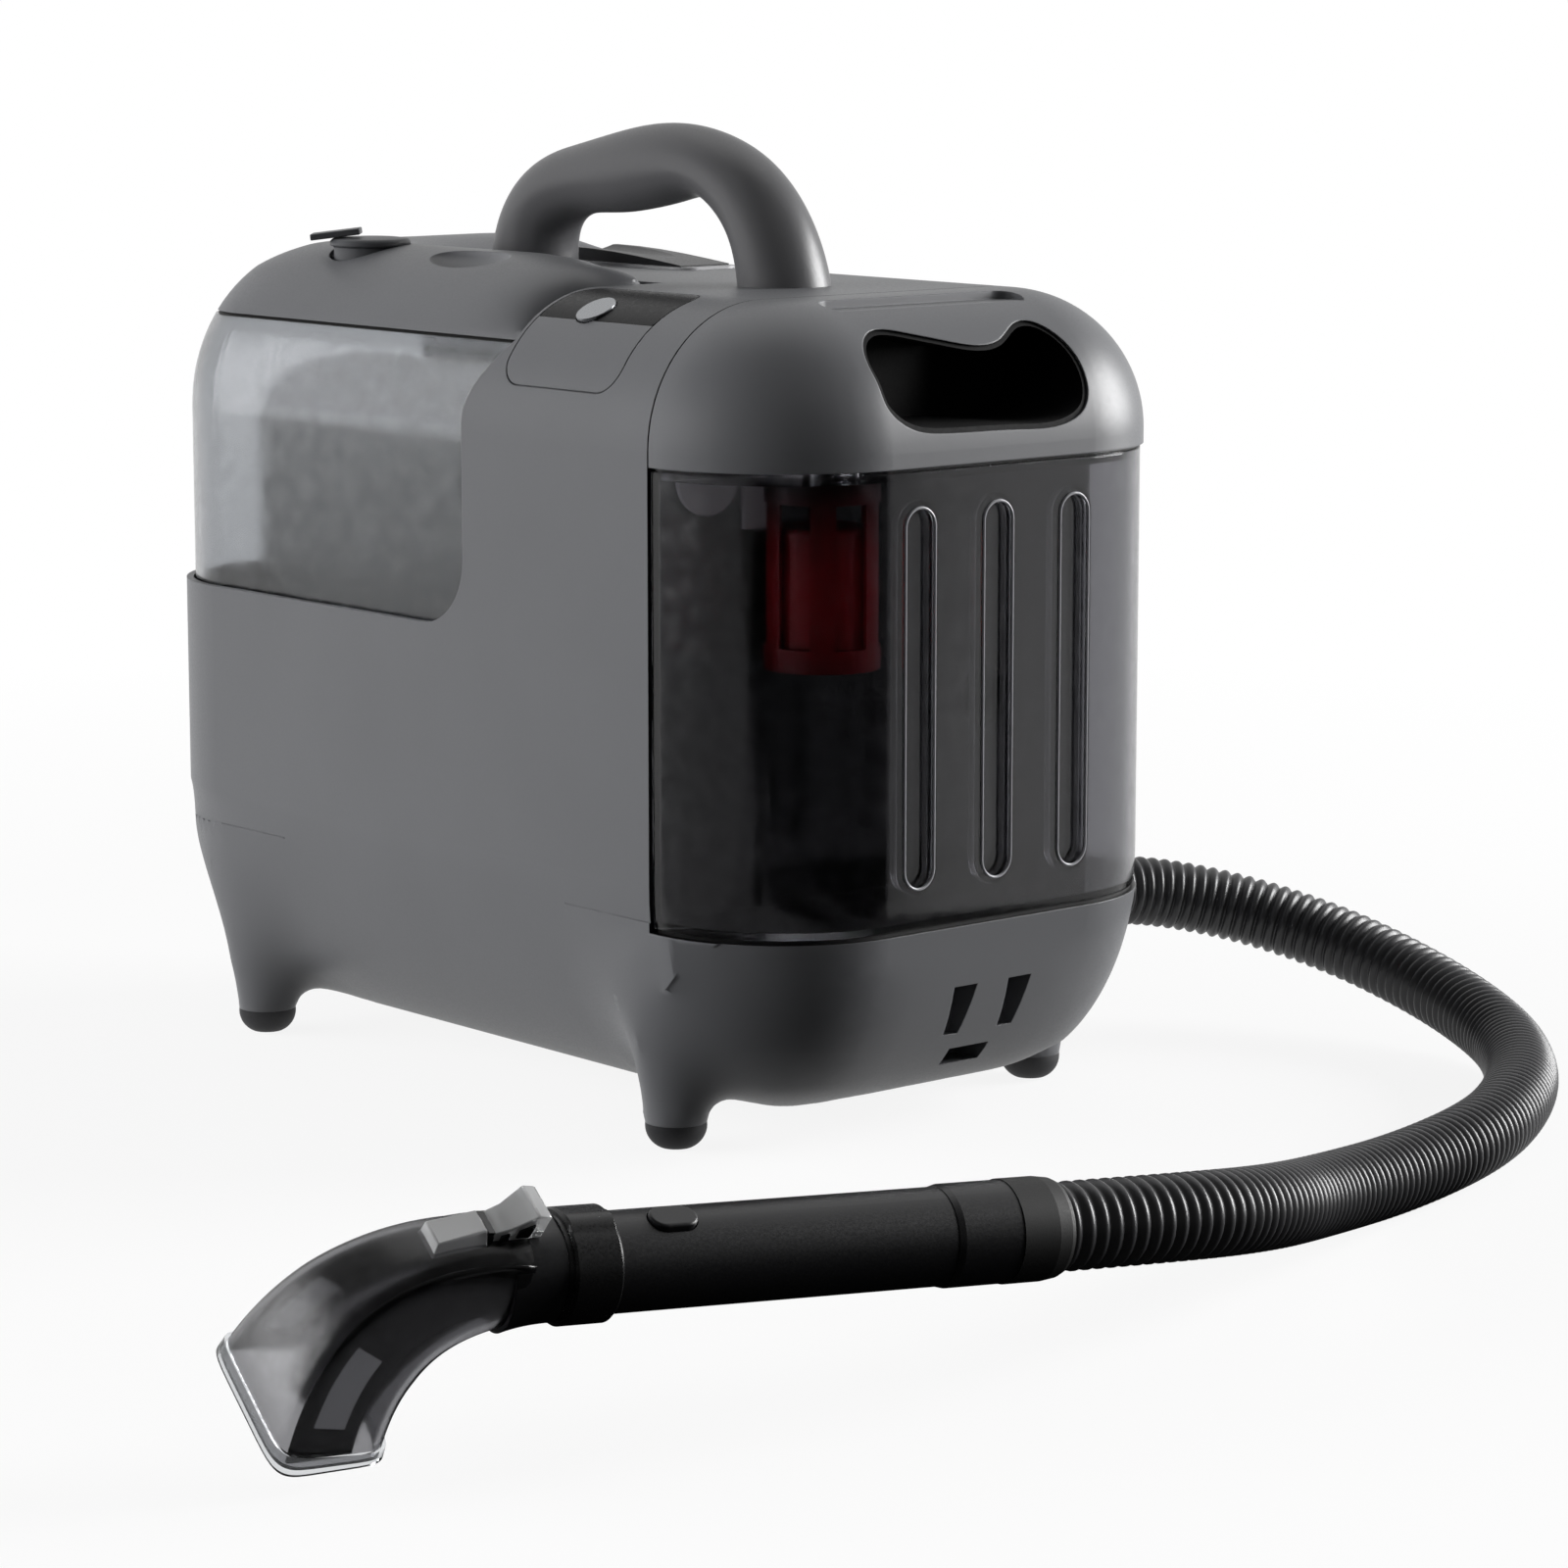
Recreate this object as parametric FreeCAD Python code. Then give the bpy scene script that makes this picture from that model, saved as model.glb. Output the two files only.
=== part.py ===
"""Portable spot extractor, in millimetres.

+Z is up, the front looks towards -Y, and the origin is on the floor midway between the feet.
"""
import FreeCAD
import Part
import math
import os

Vec = FreeCAD.Vector
UP = Vec(0, 0, 1)
ALONG_X = Vec(1, 0, 0)
ALONG_Y = Vec(0, 1, 0)

# Body envelope
BODY_HALF_WIDTH = 105.0
BODY_FRONT = -198.0
BODY_REAR = 188.0
BODY_BOTTOM = 13.0
BODY_TOP = 298.0
CORNER_RADIUS = 57.0
SHOULDER_RADIUS = 50.0
BELLY_HEIGHT = 84.0
BELLY_INSET = 50.0
BELLY_STEPS = 7
WALL = 2.8

# Running gaps between pieces
GAP = 0.3
SEAM_GAP = 0.6
SLIDE_GAP = 0.8
SHAFT_GAP = 0.05

# Legs and their soft tips
LEG_X = BODY_HALF_WIDTH - 19.0
LEG_FRONT_Y = BODY_FRONT + 71.0
LEG_REAR_Y = BODY_REAR - 62.0
LEG_TIP_RADIUS = 11.0
LEG_TOP = BODY_BOTTOM + 71.0
LEG_FLARE = 47.0
PAD_HEIGHT = 9.0
PAD_FLAT_RADIUS = 6.0
PAD_STUD_RADIUS = 4.0
PAD_STUD_LENGTH = 10.0

# Front bay for the recovery tank
SEAM_Y = BODY_FRONT + 62.0
CHIN_TOP = BODY_BOTTOM + 67.5

# Accessory slots in the chin
SLOT_CENTRE_X = 6.0
SLOT_SPACING = 26.0
SLOT_TOP_WIDTH = 11.0
SLOT_BOTTOM_WIDTH = 7.0
SLOT_LOW = BODY_BOTTOM + 25.5
SLOT_HIGH = BODY_BOTTOM + 44.5
SLOT_DEPTH = 12.0
CROSS_SLOT_WIDTH = 19.0
CROSS_SLOT_LOW = BODY_BOTTOM + 12.0
CROSS_SLOT_HIGH = BODY_BOTTOM + 19.0
SLOT_POCKET_FRONT = BODY_FRONT - 2.0

# Recovery tank
DIRTY_INSET = 1.2
DIRTY_WALL = 2.4
DIRTY_TOP = BODY_TOP - 56.6
GROOVE_WIDTH = 13.5
GROOVE_DEPTH = 3.2
GROOVE_LOW = CHIN_TOP + 15.5
GROOVE_HIGH = DIRTY_TOP - 12.4
GROOVE_SPACING = 36.5
GROOVE_CENTRE_X = 2.5
GASKET_HEIGHT = 1.4
GASKET_WIDTH = 2.0
GASKET_IN = 0.8

# Lid of the recovery tank
LID_BOTTOM = DIRTY_TOP + 1.4
LID_WALL = 2.6
LID_PLATE_THICKNESS = 3.0
# Grip opening: closed outline as (x, height over the lid's lower edge)
GRIP_OUTLINE = [
    (-49.8, 32.2), (-47.0, 42.2), (-39.0, 45.9), (-26.0, 44.8), (-10.0, 41.4), (4.0, 39.2),
    (15.0, 40.6), (27.0, 45.4), (37.0, 45.2), (44.5, 38.7), (47.6, 27.7), (44.5, 16.7),
    (34.0, 11.2), (11.0, 10.4), (-25.0, 11.2), (-40.0, 14.2), (-48.0, 21.2),
]
GRIP_DEPTH = 46.0
GRIP_WALL = 1.8
THUMB_HALF_LENGTH = 46.0
THUMB_WIDTH = 14.0
THUMB_Y = BODY_FRONT + 38.0
THUMB_DEPTH = 3.2

# Float and its cage
FLOAT_X = -BODY_HALF_WIDTH + 53.0
FLOAT_Y = BODY_FRONT + 32.0
FLOAT_RADIUS = 17.0
FLOAT_HEIGHT = 48.0
FLOAT_SEAT = 8.0
CAGE_RADIUS = 20.0
CAGE_WALL = 1.6
CAGE_HEIGHT = 66.0
CAGE_WINDOWS = 6
CAGE_WINDOW_WIDTH = 12.0
BAFFLE_RADIUS = 13.0
BAFFLE_X = -BODY_HALF_WIDTH + 22.0
BAFFLE_THICKNESS = 2.0
BAFFLE_PLATE_X = -BODY_HALF_WIDTH + 44.5
BAFFLE_PLATE_WIDTH = 13.0
BAFFLE_HEIGHT = 19.0

# Clean tank and its cap
TANK_INSET = 3.5
TANK_WALL = 2.4
TANK_BOTTOM = 120.0
TANK_SEAM = BODY_TOP - 18.8
CAP_SEAM = TANK_SEAM + 1.2
CAP_TOP = BODY_TOP + 9.0
CAP_SHOULDER_HEIGHT = 64.0
CAP_SHOULDER_INSET = 56.0
CAP_WALL = 2.6
LOBE_FRONT = -30.0
LOBE_FRONT_TOP = -46.0
LOBE_INNER_X = -26.0
REAR_BLOCK_Y = BODY_REAR - 96.0
FLARE_LOW = BODY_TOP - 43.0
FLARE_MID = BODY_TOP - 31.0
FLARE_HIGH = BODY_TOP - 17.0
RIM_HEIGHT = 176.4
RIM_RADIUS = 25.0
CAP_LIFT = 0.8

# Filler plug in the cap
PLUG_X = -BODY_HALF_WIDTH + 52.0
PLUG_Y = REAR_BLOCK_Y + 4.0
PLUG_RADIUS = 15.0
PLUG_PROUD = 0.5
TAB_LENGTH = 20.0
TAB_WIDTH = 13.0
SCOOP_X = -BODY_HALF_WIDTH + 45.0
SCOOP_Y = 26.0
SCOOP_LENGTH = 46.0
SCOOP_WIDTH = 24.0
SCOOP_DEPTH = 5.0

# Valve under the clean tank
VALVE_X = -BODY_HALF_WIDTH + 43.0
VALVE_Y = 24.0
VALVE_RADIUS = 9.0
VALVE_BORE = 4.0
VALVE_LOW = TANK_BOTTOM - 8.0
VALVE_SHELF = TANK_BOTTOM + 8.0
VALVE_HIGH = TANK_BOTTOM + 22.0
POPPET_RADIUS = 2.6
POPPET_HEAD = 6.0
SEAT_RADIUS = 14.0
SEAT_LOW = TANK_BOTTOM - 16.0

# Carry handle: centre line in the plane x = 0 as (y, height over the body, half width, half thickness)
HANDLE_LINE = [
    (63.0, -8.0, 17.5, 16.0),
    (61.0, 8.0, 17.0, 15.5),
    (55.0, 21.5, 16.0, 14.5),
    (42.0, 31.0, 15.5, 13.5),
    (24.0, 36.0, 15.2, 13.0),
    (0.0, 39.5, 15.5, 14.6),
    (-26.0, 42.0, 15.5, 14.8),
    (-47.0, 40.5, 15.5, 13.4),
    (-66.0, 32.0, 15.8, 13.4),
    (-78.5, 18.0, 16.6, 14.4),
    (-84.5, 3.0, 17.4, 16.0),
    (-86.5, -10.0, 18.0, 17.0),
]
HANDLE_WALL = 3.0

# Control panel on the left shoulder, measured along the slope at 45 degrees
PANEL_REAR = BODY_FRONT + 149.0
PANEL_FRONT = BODY_FRONT + 85.0
SHOULDER_MIDDLE = math.sqrt(0.5) * (BODY_TOP - BODY_HALF_WIDTH)
PANEL_LOW = SHOULDER_MIDDLE - 20.0
PANEL_HIGH = SHOULDER_MIDDLE + 33.5
PANEL_RADIUS = 10.0
PANEL_DEPTH = 1.4
PANEL_GAP = 0.5
PANEL_REACH = 16.0
STRIP_LOW = SHOULDER_MIDDLE + 8.5
STRIP_DEPTH = 0.7
BUTTON_X = -BODY_HALF_WIDTH + 26.5
BUTTON_Y = BODY_FRONT + 123.0
BUTTON_RADIUS = 7.6
BUTTON_PROUD = 0.8
BUTTON_SINK = 0.3
BUTTON_LENGTH = 6.0
SWITCH_TOP = 7.8
SWITCH_HEIGHT = 9.0

# Floor plate
PLATE_HALF_WIDTH = BODY_HALF_WIDTH - 57.0
PLATE_FRONT = BODY_FRONT + 94.0
PLATE_REAR = BODY_REAR - 76.0
PLATE_LIP = 5.0
PLATE_RADIUS = 14.0
PLATE_THICKNESS = 2.6
BULGES = [(-18.0, 66.0, 34.0, 5.0), (-34.0, -50.0, 17.0, 4.0)]
SCREW_RADIUS = 1.6
SCREW_HEAD_RADIUS = 3.2
SCREW_HEAD = 2.0

# Suction motor and fan, one stack on the floor plate
MOTOR_X = BODY_HALF_WIDTH - 71.0
MOTOR_Y = 25.0
MOTOR_RADIUS = 36.0
MOTOR_LOW = BODY_BOTTOM + 13.0
MOTOR_HIGH = 104.0
FAN_RADIUS = 48.0
FAN_HEIGHT = 34.0
FAN_WALL = 2.4
IMPELLER_RADIUS = 40.0
IMPELLER_HEIGHT = 18.0
IMPELLER_BLADES = 9
SHAFT_RADIUS = 3.0
DUCT_RADIUS = 17.0
DUCT_WALL = 2.0
DUCT_BEND = 30.0
VACUUM_Z = BODY_TOP - 36.0
GRILLE_WIDTH = 52.0
GRILLE_LOW = 107.0
GRILLE_HIGH = 136.0
GRILLE_SLATS = 5
GRILLE_FLANGE = 2.4

# Hose port and the duct from it to the recovery tank
PORT_Y = BODY_FRONT + 118.0
PORT_Z = 56.0
PORT_OUTER = BODY_HALF_WIDTH + 13.0
PORT_RADIUS = 19.0
PORT_INNER = BODY_HALF_WIDTH - 25.0
PORT_CUFF_LENGTH = 20.0
INLET_X = BODY_HALF_WIDTH - 55.0
INLET_Z = 150.0
INLET_RADIUS = 13.0
INLET_BORE = 11.0
INLET_BEND = 20.0
SEAL_WIDTH = 3.0

# Pump, board and inlet
PUMP_X = -30.0
PUMP_Y = BODY_FRONT + 114.0
PUMP_SIZE = (34.0, 44.0, 36.0)
PUMP_LOW = BODY_BOTTOM + 9.0
BOARD_X = -BODY_HALF_WIDTH + 8.0
BOARD_REAR = BODY_FRONT + 146.0
BOARD_FRONT = BODY_FRONT + 76.0
BOARD_LOW = 150.0
BOARD_HIGH = 235.0
BOARD_THICKNESS = 1.6
BOARD_PARTS = [(-13.0, 25.0, 24.0, 16.0, 12.0), (17.0, 30.0, 14.0, 22.0, 9.0), (-1.0, 62.0, 30.0, 12.0, 6.0)]
POWER_X = BODY_HALF_WIDTH - 59.0
POWER_Z = 102.0
POWER_WIDTH = 28.0
POWER_HEIGHT = 22.0
POWER_DEPTH = 22.0

# Cradle on the right shoulder
CRADLE_X = BODY_HALF_WIDTH - 65.0
CRADLE_REAR = 82.0
CRADLE_FRONT = 8.0
CRADLE_RISE = 4.4
CRADLE_WIDTH = 24.0
CRADLE_PAD = 1.0

# Hose
HOSE_RADIUS = 13.5
HOSE_ROOT = 11.9
HOSE_BORE = 10.2
RIB_PITCH = 4.75
FLOOR_CLEAR = 0.3
HOSE_FLOOR = HOSE_RADIUS + FLOOR_CLEAR
HOSE_FIRST_RUN = 49.0
HOSE_LAST_RUN = 46.0
HOSE_POINTS = [
    (209.5, -102.5, 48.0),
    (236.0, -142.0, 35.5),
    (241.5, -190.0, 22.5),
    (225.0, -238.5, 14.5),
    (188.0, -281.5, HOSE_FLOOR),
    (149.0, -313.0, HOSE_FLOOR),
    (100.0, -340.5, HOSE_FLOOR),
    (37.0, -360.0, 14.5),
    (-29.0, -383.0, 21.5),
    (-85.0, -413.0, 33.0),
]

# Wand: where its hose end lies in plan, where it points, and how far it is rolled
WAND_END = (-180.0, -417.0, 44.0)
WAND_DIRECTION = (-0.975, 0.203, 0.057)
WAND_ROLL = 27.0
CUFF_LENGTH = 18.0
CUFF_RADIUS = 15.6
CUFF_MOUTH_RADIUS = 14.3
SLEEVE_LENGTH = 22.0
SLEEVE_RADIUS = 15.3
TUBE_RADIUS = 14.6
TUBE_WALL = 2.2
TUBE_LENGTH = 109.5
SLEEVE_END = CUFF_LENGTH + SLEEVE_LENGTH
TRIGGER_PLACE = SLEEVE_END + TUBE_LENGTH - 19.0
TRIGGER_LENGTH = 15.0
TRIGGER_WIDTH = 9.0
TRIGGER_FLOOR = 8.2
COLLAR_LENGTH = 17.0
COLLAR_RADIUS = 16.8
COLLAR_FLATS = 12
NOZZLE_WALL = 1.8
NOZZLE_START = SLEEVE_END + TUBE_LENGTH + COLLAR_LENGTH
NOZZLE_REACH = 61.5
NOZZLE_DROP = 50.0
NOZZLE_TURN = 85.0
NOZZLE_SECTIONS = [(15.0, 15.0), (15.6, 14.6), (18.5, 14.0), (23.5, 13.6), (29.5, 13.2), (35.0, 12.8)]
DUCT_SECTIONS = [(9.0, 7.5), (9.2, 7.2), (10.0, 6.8), (12.0, 6.4), (14.0, 6.0), (15.5, 5.6)]
DUCT_SHIFTS = (0.0, 1.0, 2.4, 3.6, 4.0, 4.2)
NECK_LENGTH = 16.0
TIP_LENGTH = 30.0
TIP_WIDTH = 12.0
TIP_HEIGHT = 7.0


def quarter(cx, cy, radius, start, z):
    """Quarter circle, counter-clockwise from start degrees."""
    points = []
    for step in (0.0, 45.0, 90.0):
        angle = math.radians(start + step)
        points.append(Vec(cx + radius * math.cos(angle), cy + radius * math.sin(angle), z))
    return Part.Arc(*points).toShape()


def rounded_wire(x0, x1, y0, y1, radius, z=0.0):
    """Rectangle with round corners, in a level plane."""
    arcs = [
        quarter(x1 - radius, y0 + radius, radius, 270, z),
        quarter(x1 - radius, y1 - radius, radius, 0, z),
        quarter(x0 + radius, y1 - radius, radius, 90, z),
        quarter(x0 + radius, y0 + radius, radius, 180, z),
    ]
    edges = []
    for index, arc in enumerate(arcs):
        following = arcs[(index + 1) % 4]
        edges.append(arc)
        edges.append(Part.makeLine(arc.Vertexes[-1].Point, following.Vertexes[0].Point))
    return Part.Wire(edges)


def slab(x0, x1, y0, y1, radius, z0, z1):
    """Upright prism on a rounded rectangle."""
    return Part.Face(rounded_wire(x0, x1, y0, y1, radius, z0)).extrude(Vec(0, 0, z1 - z0))


def block(x0, x1, y0, y1, z0, z1):
    return Part.makeBox(x1 - x0, y1 - y0, z1 - z0, Vec(x0, y0, z0))


def cylinder(radius, base, height, axis=UP):
    return Part.makeCylinder(radius, height, base, axis)


def ring(outer, inner, base, height, axis=UP):
    return cylinder(outer, base, height, axis).cut(cylinder(inner, base, height, axis))


def polygon(points):
    return Part.Face(Part.makePolygon(list(points) + [points[0]]))


def fuse(first, *others):
    return first.multiFuse(list(others)).removeSplitter()


def solid_of(shape):
    """The one solid of a result that holds a single body."""
    if len(shape.Solids) != 1:
        raise ValueError("expected one solid, got %d" % len(shape.Solids))
    return shape.Solids[0]


def plan_wire(inset, z, body_inset=0.0):
    """The body's outline in plan, taken in by inset."""
    total = inset + body_inset
    half = BODY_HALF_WIDTH - total
    radius = max(CORNER_RADIUS - total, 5.0)
    return rounded_wire(-half, half, BODY_FRONT + total, BODY_REAR - total, radius, z)


def quarter_steps(inset, height, steps):
    """Inset and drop along a quarter of an ellipse, from the wall round to the flat."""
    for step in range(steps + 1):
        angle = math.pi / 2 * step / steps
        yield inset * (1 - math.cos(angle)), height * math.sin(angle)


def lower_form(offset):
    """Rounded belly below the straight walls, taken in by offset all round."""
    top = BODY_BOTTOM + BELLY_HEIGHT
    wires = []
    for inset, drop in quarter_steps(BELLY_INSET - offset, BELLY_HEIGHT - offset, BELLY_STEPS):
        wires.append(plan_wire(inset, top - drop, offset))
    return Part.makeLoft(wires, True, False)


def body_form(offset=0.0):
    """The whole body as one soft block, taken in by offset all round."""
    low = BODY_BOTTOM + BELLY_HEIGHT
    top = BODY_TOP - offset
    upper = Part.Face(plan_wire(0.0, low, offset)).extrude(Vec(0, 0, top - low))
    rim = [edge for edge in upper.Edges if all(abs(v.Z - top) < 0.01 for v in edge.Vertexes)]
    upper = upper.makeFillet(SHOULDER_RADIUS - offset, rim)
    return upper.fuse(lower_form(offset))


def tank_form(offset=0.0):
    """Soft block of the clean tank and its cap together, before its plan is cut out."""
    low = TANK_BOTTOM + offset
    shoulder = CAP_TOP - CAP_SHOULDER_HEIGHT
    inset_all = TANK_INSET + offset
    lower = Part.Face(plan_wire(0.0, low, inset_all)).extrude(Vec(0, 0, shoulder - low))
    wires = []
    for inset, rise in quarter_steps(CAP_SHOULDER_INSET - offset, CAP_SHOULDER_HEIGHT - offset, BELLY_STEPS):
        wires.append(plan_wire(inset, shoulder + rise, inset_all))
    return lower.fuse(Part.makeLoft(wires, True, False))


def lobe_profile(offset, low, high):
    """Side profile of the tank's left lobe, with the flare at the top of its front edge."""
    front = LOBE_FRONT + offset
    front_top = LOBE_FRONT_TOP + offset
    middle = front + (front_top - front) * 0.32
    rear = BODY_REAR + 20.0
    return [
        (rear, low),
        (front, low),
        (front, FLARE_LOW),
        (middle, FLARE_MID),
        (front_top, FLARE_HIGH),
        (front_top, high),
        (rear, high),
    ]


def side_prism(points, x0, x1):
    """Prism along X on a profile given as (y, z)."""
    return polygon([Vec(x0, y, z) for y, z in points]).extrude(Vec(x1 - x0, 0, 0))


def tank_plan(offset, low, high):
    """The L-shaped space of the clean tank: a lobe on the left and a block across the back."""
    outside = BODY_HALF_WIDTH + 20.0
    lobe = side_prism(lobe_profile(offset, low, high), -outside, LOBE_INNER_X - offset)
    rear = block(LOBE_INNER_X - offset - 1.0, outside, REAR_BLOCK_Y + offset, BODY_REAR + 20.0, low, high)
    return lobe.fuse(rear)


def rim_cut():
    """Everything of the casing above the tank rim, with its rounded front corners."""
    high = BODY_TOP + 30.0
    outside = BODY_HALF_WIDTH + 20.0
    inside = BODY_HALF_WIDTH - CORNER_RADIUS + 14.0
    shapes = []
    for side, front in ((-1, LOBE_FRONT), (1, REAR_BLOCK_Y)):
        points = lobe_profile(0.0, RIM_HEIGHT, high)
        if side > 0:
            points = [(BODY_REAR + 20.0, RIM_HEIGHT), (front, RIM_HEIGHT), (front, high),
                      (BODY_REAR + 20.0, high)]
        x0 = -outside if side < 0 else inside
        prism = side_prism(points, x0, x0 + outside - inside)
        corner = block(x0, x0 + outside - inside, front - 1.0, front + RIM_RADIUS, RIM_HEIGHT - 1.0,
                       RIM_HEIGHT + RIM_RADIUS)
        round_part = cylinder(RIM_RADIUS, Vec(x0, front + RIM_RADIUS, RIM_HEIGHT + RIM_RADIUS),
                              outside - inside, ALONG_X)
        prism = prism.cut(corner).fuse(round_part.common(prism))
        shapes.append(prism)
    back = block(-inside - 1.0, inside + 1.0, BODY_REAR - CORNER_RADIUS, BODY_REAR + 20.0, RIM_HEIGHT, high)
    return fuse(shapes[0], shapes[1], back)


def leg_form(x, y):
    """Conical leg that spreads into the belly, kept inside the body's outline."""
    line = Part.BSplineCurve()
    line.interpolate([
        Vec(LEG_TIP_RADIUS, 0, PAD_HEIGHT),
        Vec(LEG_TIP_RADIUS + 2.6, 0, PAD_HEIGHT + 12.0),
        Vec(LEG_TIP_RADIUS + 6.6, 0, PAD_HEIGHT + 29.0),
        Vec(LEG_TIP_RADIUS + 14.0, 0, LEG_TOP - 24.0),
        Vec(LEG_FLARE, 0, LEG_TOP),
    ])
    edges = [
        Part.makeLine(Vec(0, 0, PAD_HEIGHT), Vec(LEG_TIP_RADIUS, 0, PAD_HEIGHT)),
        line.toShape(),
        Part.makeLine(Vec(LEG_FLARE, 0, LEG_TOP), Vec(0, 0, LEG_TOP)),
        Part.makeLine(Vec(0, 0, LEG_TOP), Vec(0, 0, PAD_HEIGHT)),
    ]
    leg = Part.Face(Part.Wire(edges)).revolve(Vec(0, 0, 0), UP, 360)
    leg.translate(Vec(x, y, 0))
    outline = Part.Face(plan_wire(0.0, 0.0)).extrude(Vec(0, 0, LEG_TOP + 10.0))
    return leg.common(outline)


def leg_places():
    for x in (-LEG_X, LEG_X):
        for y in (LEG_FRONT_Y, LEG_REAR_Y):
            yield x, y


def slot_prisms(grow=0.0, depth=SLOT_DEPTH):
    """The chin's two tapered slots and the cross slot under them."""
    back = chin_front(SLOT_HIGH) + depth
    shapes = []
    for side in (-1, 1):
        x = SLOT_CENTRE_X + side * SLOT_SPACING / 2
        top = SLOT_TOP_WIDTH / 2 + grow
        low = SLOT_BOTTOM_WIDTH / 2 + grow
        corners = [(x - top, SLOT_HIGH + grow), (x + top, SLOT_HIGH + grow), (x + low, SLOT_LOW - grow),
                   (x - low, SLOT_LOW - grow)]
        face = polygon([Vec(px, SLOT_POCKET_FRONT, pz) for px, pz in corners])
        shapes.append(face.extrude(Vec(0, back + grow - SLOT_POCKET_FRONT, 0)))
    half = CROSS_SLOT_WIDTH / 2 + grow
    low_back = chin_front(CROSS_SLOT_LOW) + depth
    shapes.append(block(SLOT_CENTRE_X - half, SLOT_CENTRE_X + half, SLOT_POCKET_FRONT, low_back + grow,
                        CROSS_SLOT_LOW - grow, CROSS_SLOT_HIGH + grow))
    return shapes


def chin_front(z):
    """How far forward the belly's wall stands at a height."""
    share = (BODY_BOTTOM + BELLY_HEIGHT - z) / BELLY_HEIGHT
    return BODY_FRONT + BELLY_INSET * (1 - math.sqrt(1 - share * share))


def slope_prism(low, high, front, rear, radius, depth):
    """Prism square to the left shoulder's 45 degree line; low and high run up the slope."""
    wire = rounded_wire(front, rear, low, high, radius)
    face = Part.Face(wire)
    rows = FreeCAD.Matrix()
    half = math.sqrt(0.5)
    rows.A11, rows.A12, rows.A13 = 0, half, -half
    rows.A21, rows.A22, rows.A23 = 1, 0, 0
    rows.A31, rows.A32, rows.A33 = 0, half, half
    face = face.transformGeometry(rows)
    start = shoulder_out() - depth
    face.translate(Vec(-half * start, 0, half * start))
    return face.extrude(Vec(-half * (depth + 20.0), 0, half * (depth + 20.0)))


def shoulder_out():
    """Distance of the shoulder's crown from the body's axis, along the 45 degree line."""
    half = math.sqrt(0.5)
    centre = (BODY_HALF_WIDTH - SHOULDER_RADIUS) * half + (BODY_TOP - SHOULDER_RADIUS) * half
    return centre + SHOULDER_RADIUS


def button_axis():
    """Outward direction square to the shoulder at the button."""
    across = BUTTON_X + BODY_HALF_WIDTH - SHOULDER_RADIUS
    up = math.sqrt(SHOULDER_RADIUS ** 2 - across ** 2)
    return Vec(across / SHOULDER_RADIUS, 0, up / SHOULDER_RADIUS)


def button_seat():
    """Point on the shoulder's surface under the button's centre."""
    centre = Vec(-(BODY_HALF_WIDTH - SHOULDER_RADIUS), BUTTON_Y, BODY_TOP - SHOULDER_RADIUS)
    return centre + button_axis() * SHOULDER_RADIUS


def front_space(grow=0.0):
    """The space that the recovery tank and its lid take out of the body."""
    outside = BODY_HALF_WIDTH + 20.0
    return block(-outside, outside, BODY_FRONT - 20.0, SEAM_Y + grow, CHIN_TOP - grow, BODY_TOP + 30.0)


def plate_opening(grow=0.0):
    return slab(-PLATE_HALF_WIDTH - grow, PLATE_HALF_WIDTH + grow, PLATE_FRONT - grow, PLATE_REAR + grow,
                PLATE_RADIUS + grow, BODY_BOTTOM - 5.0, BODY_BOTTOM + WALL + 3.0)


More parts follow.
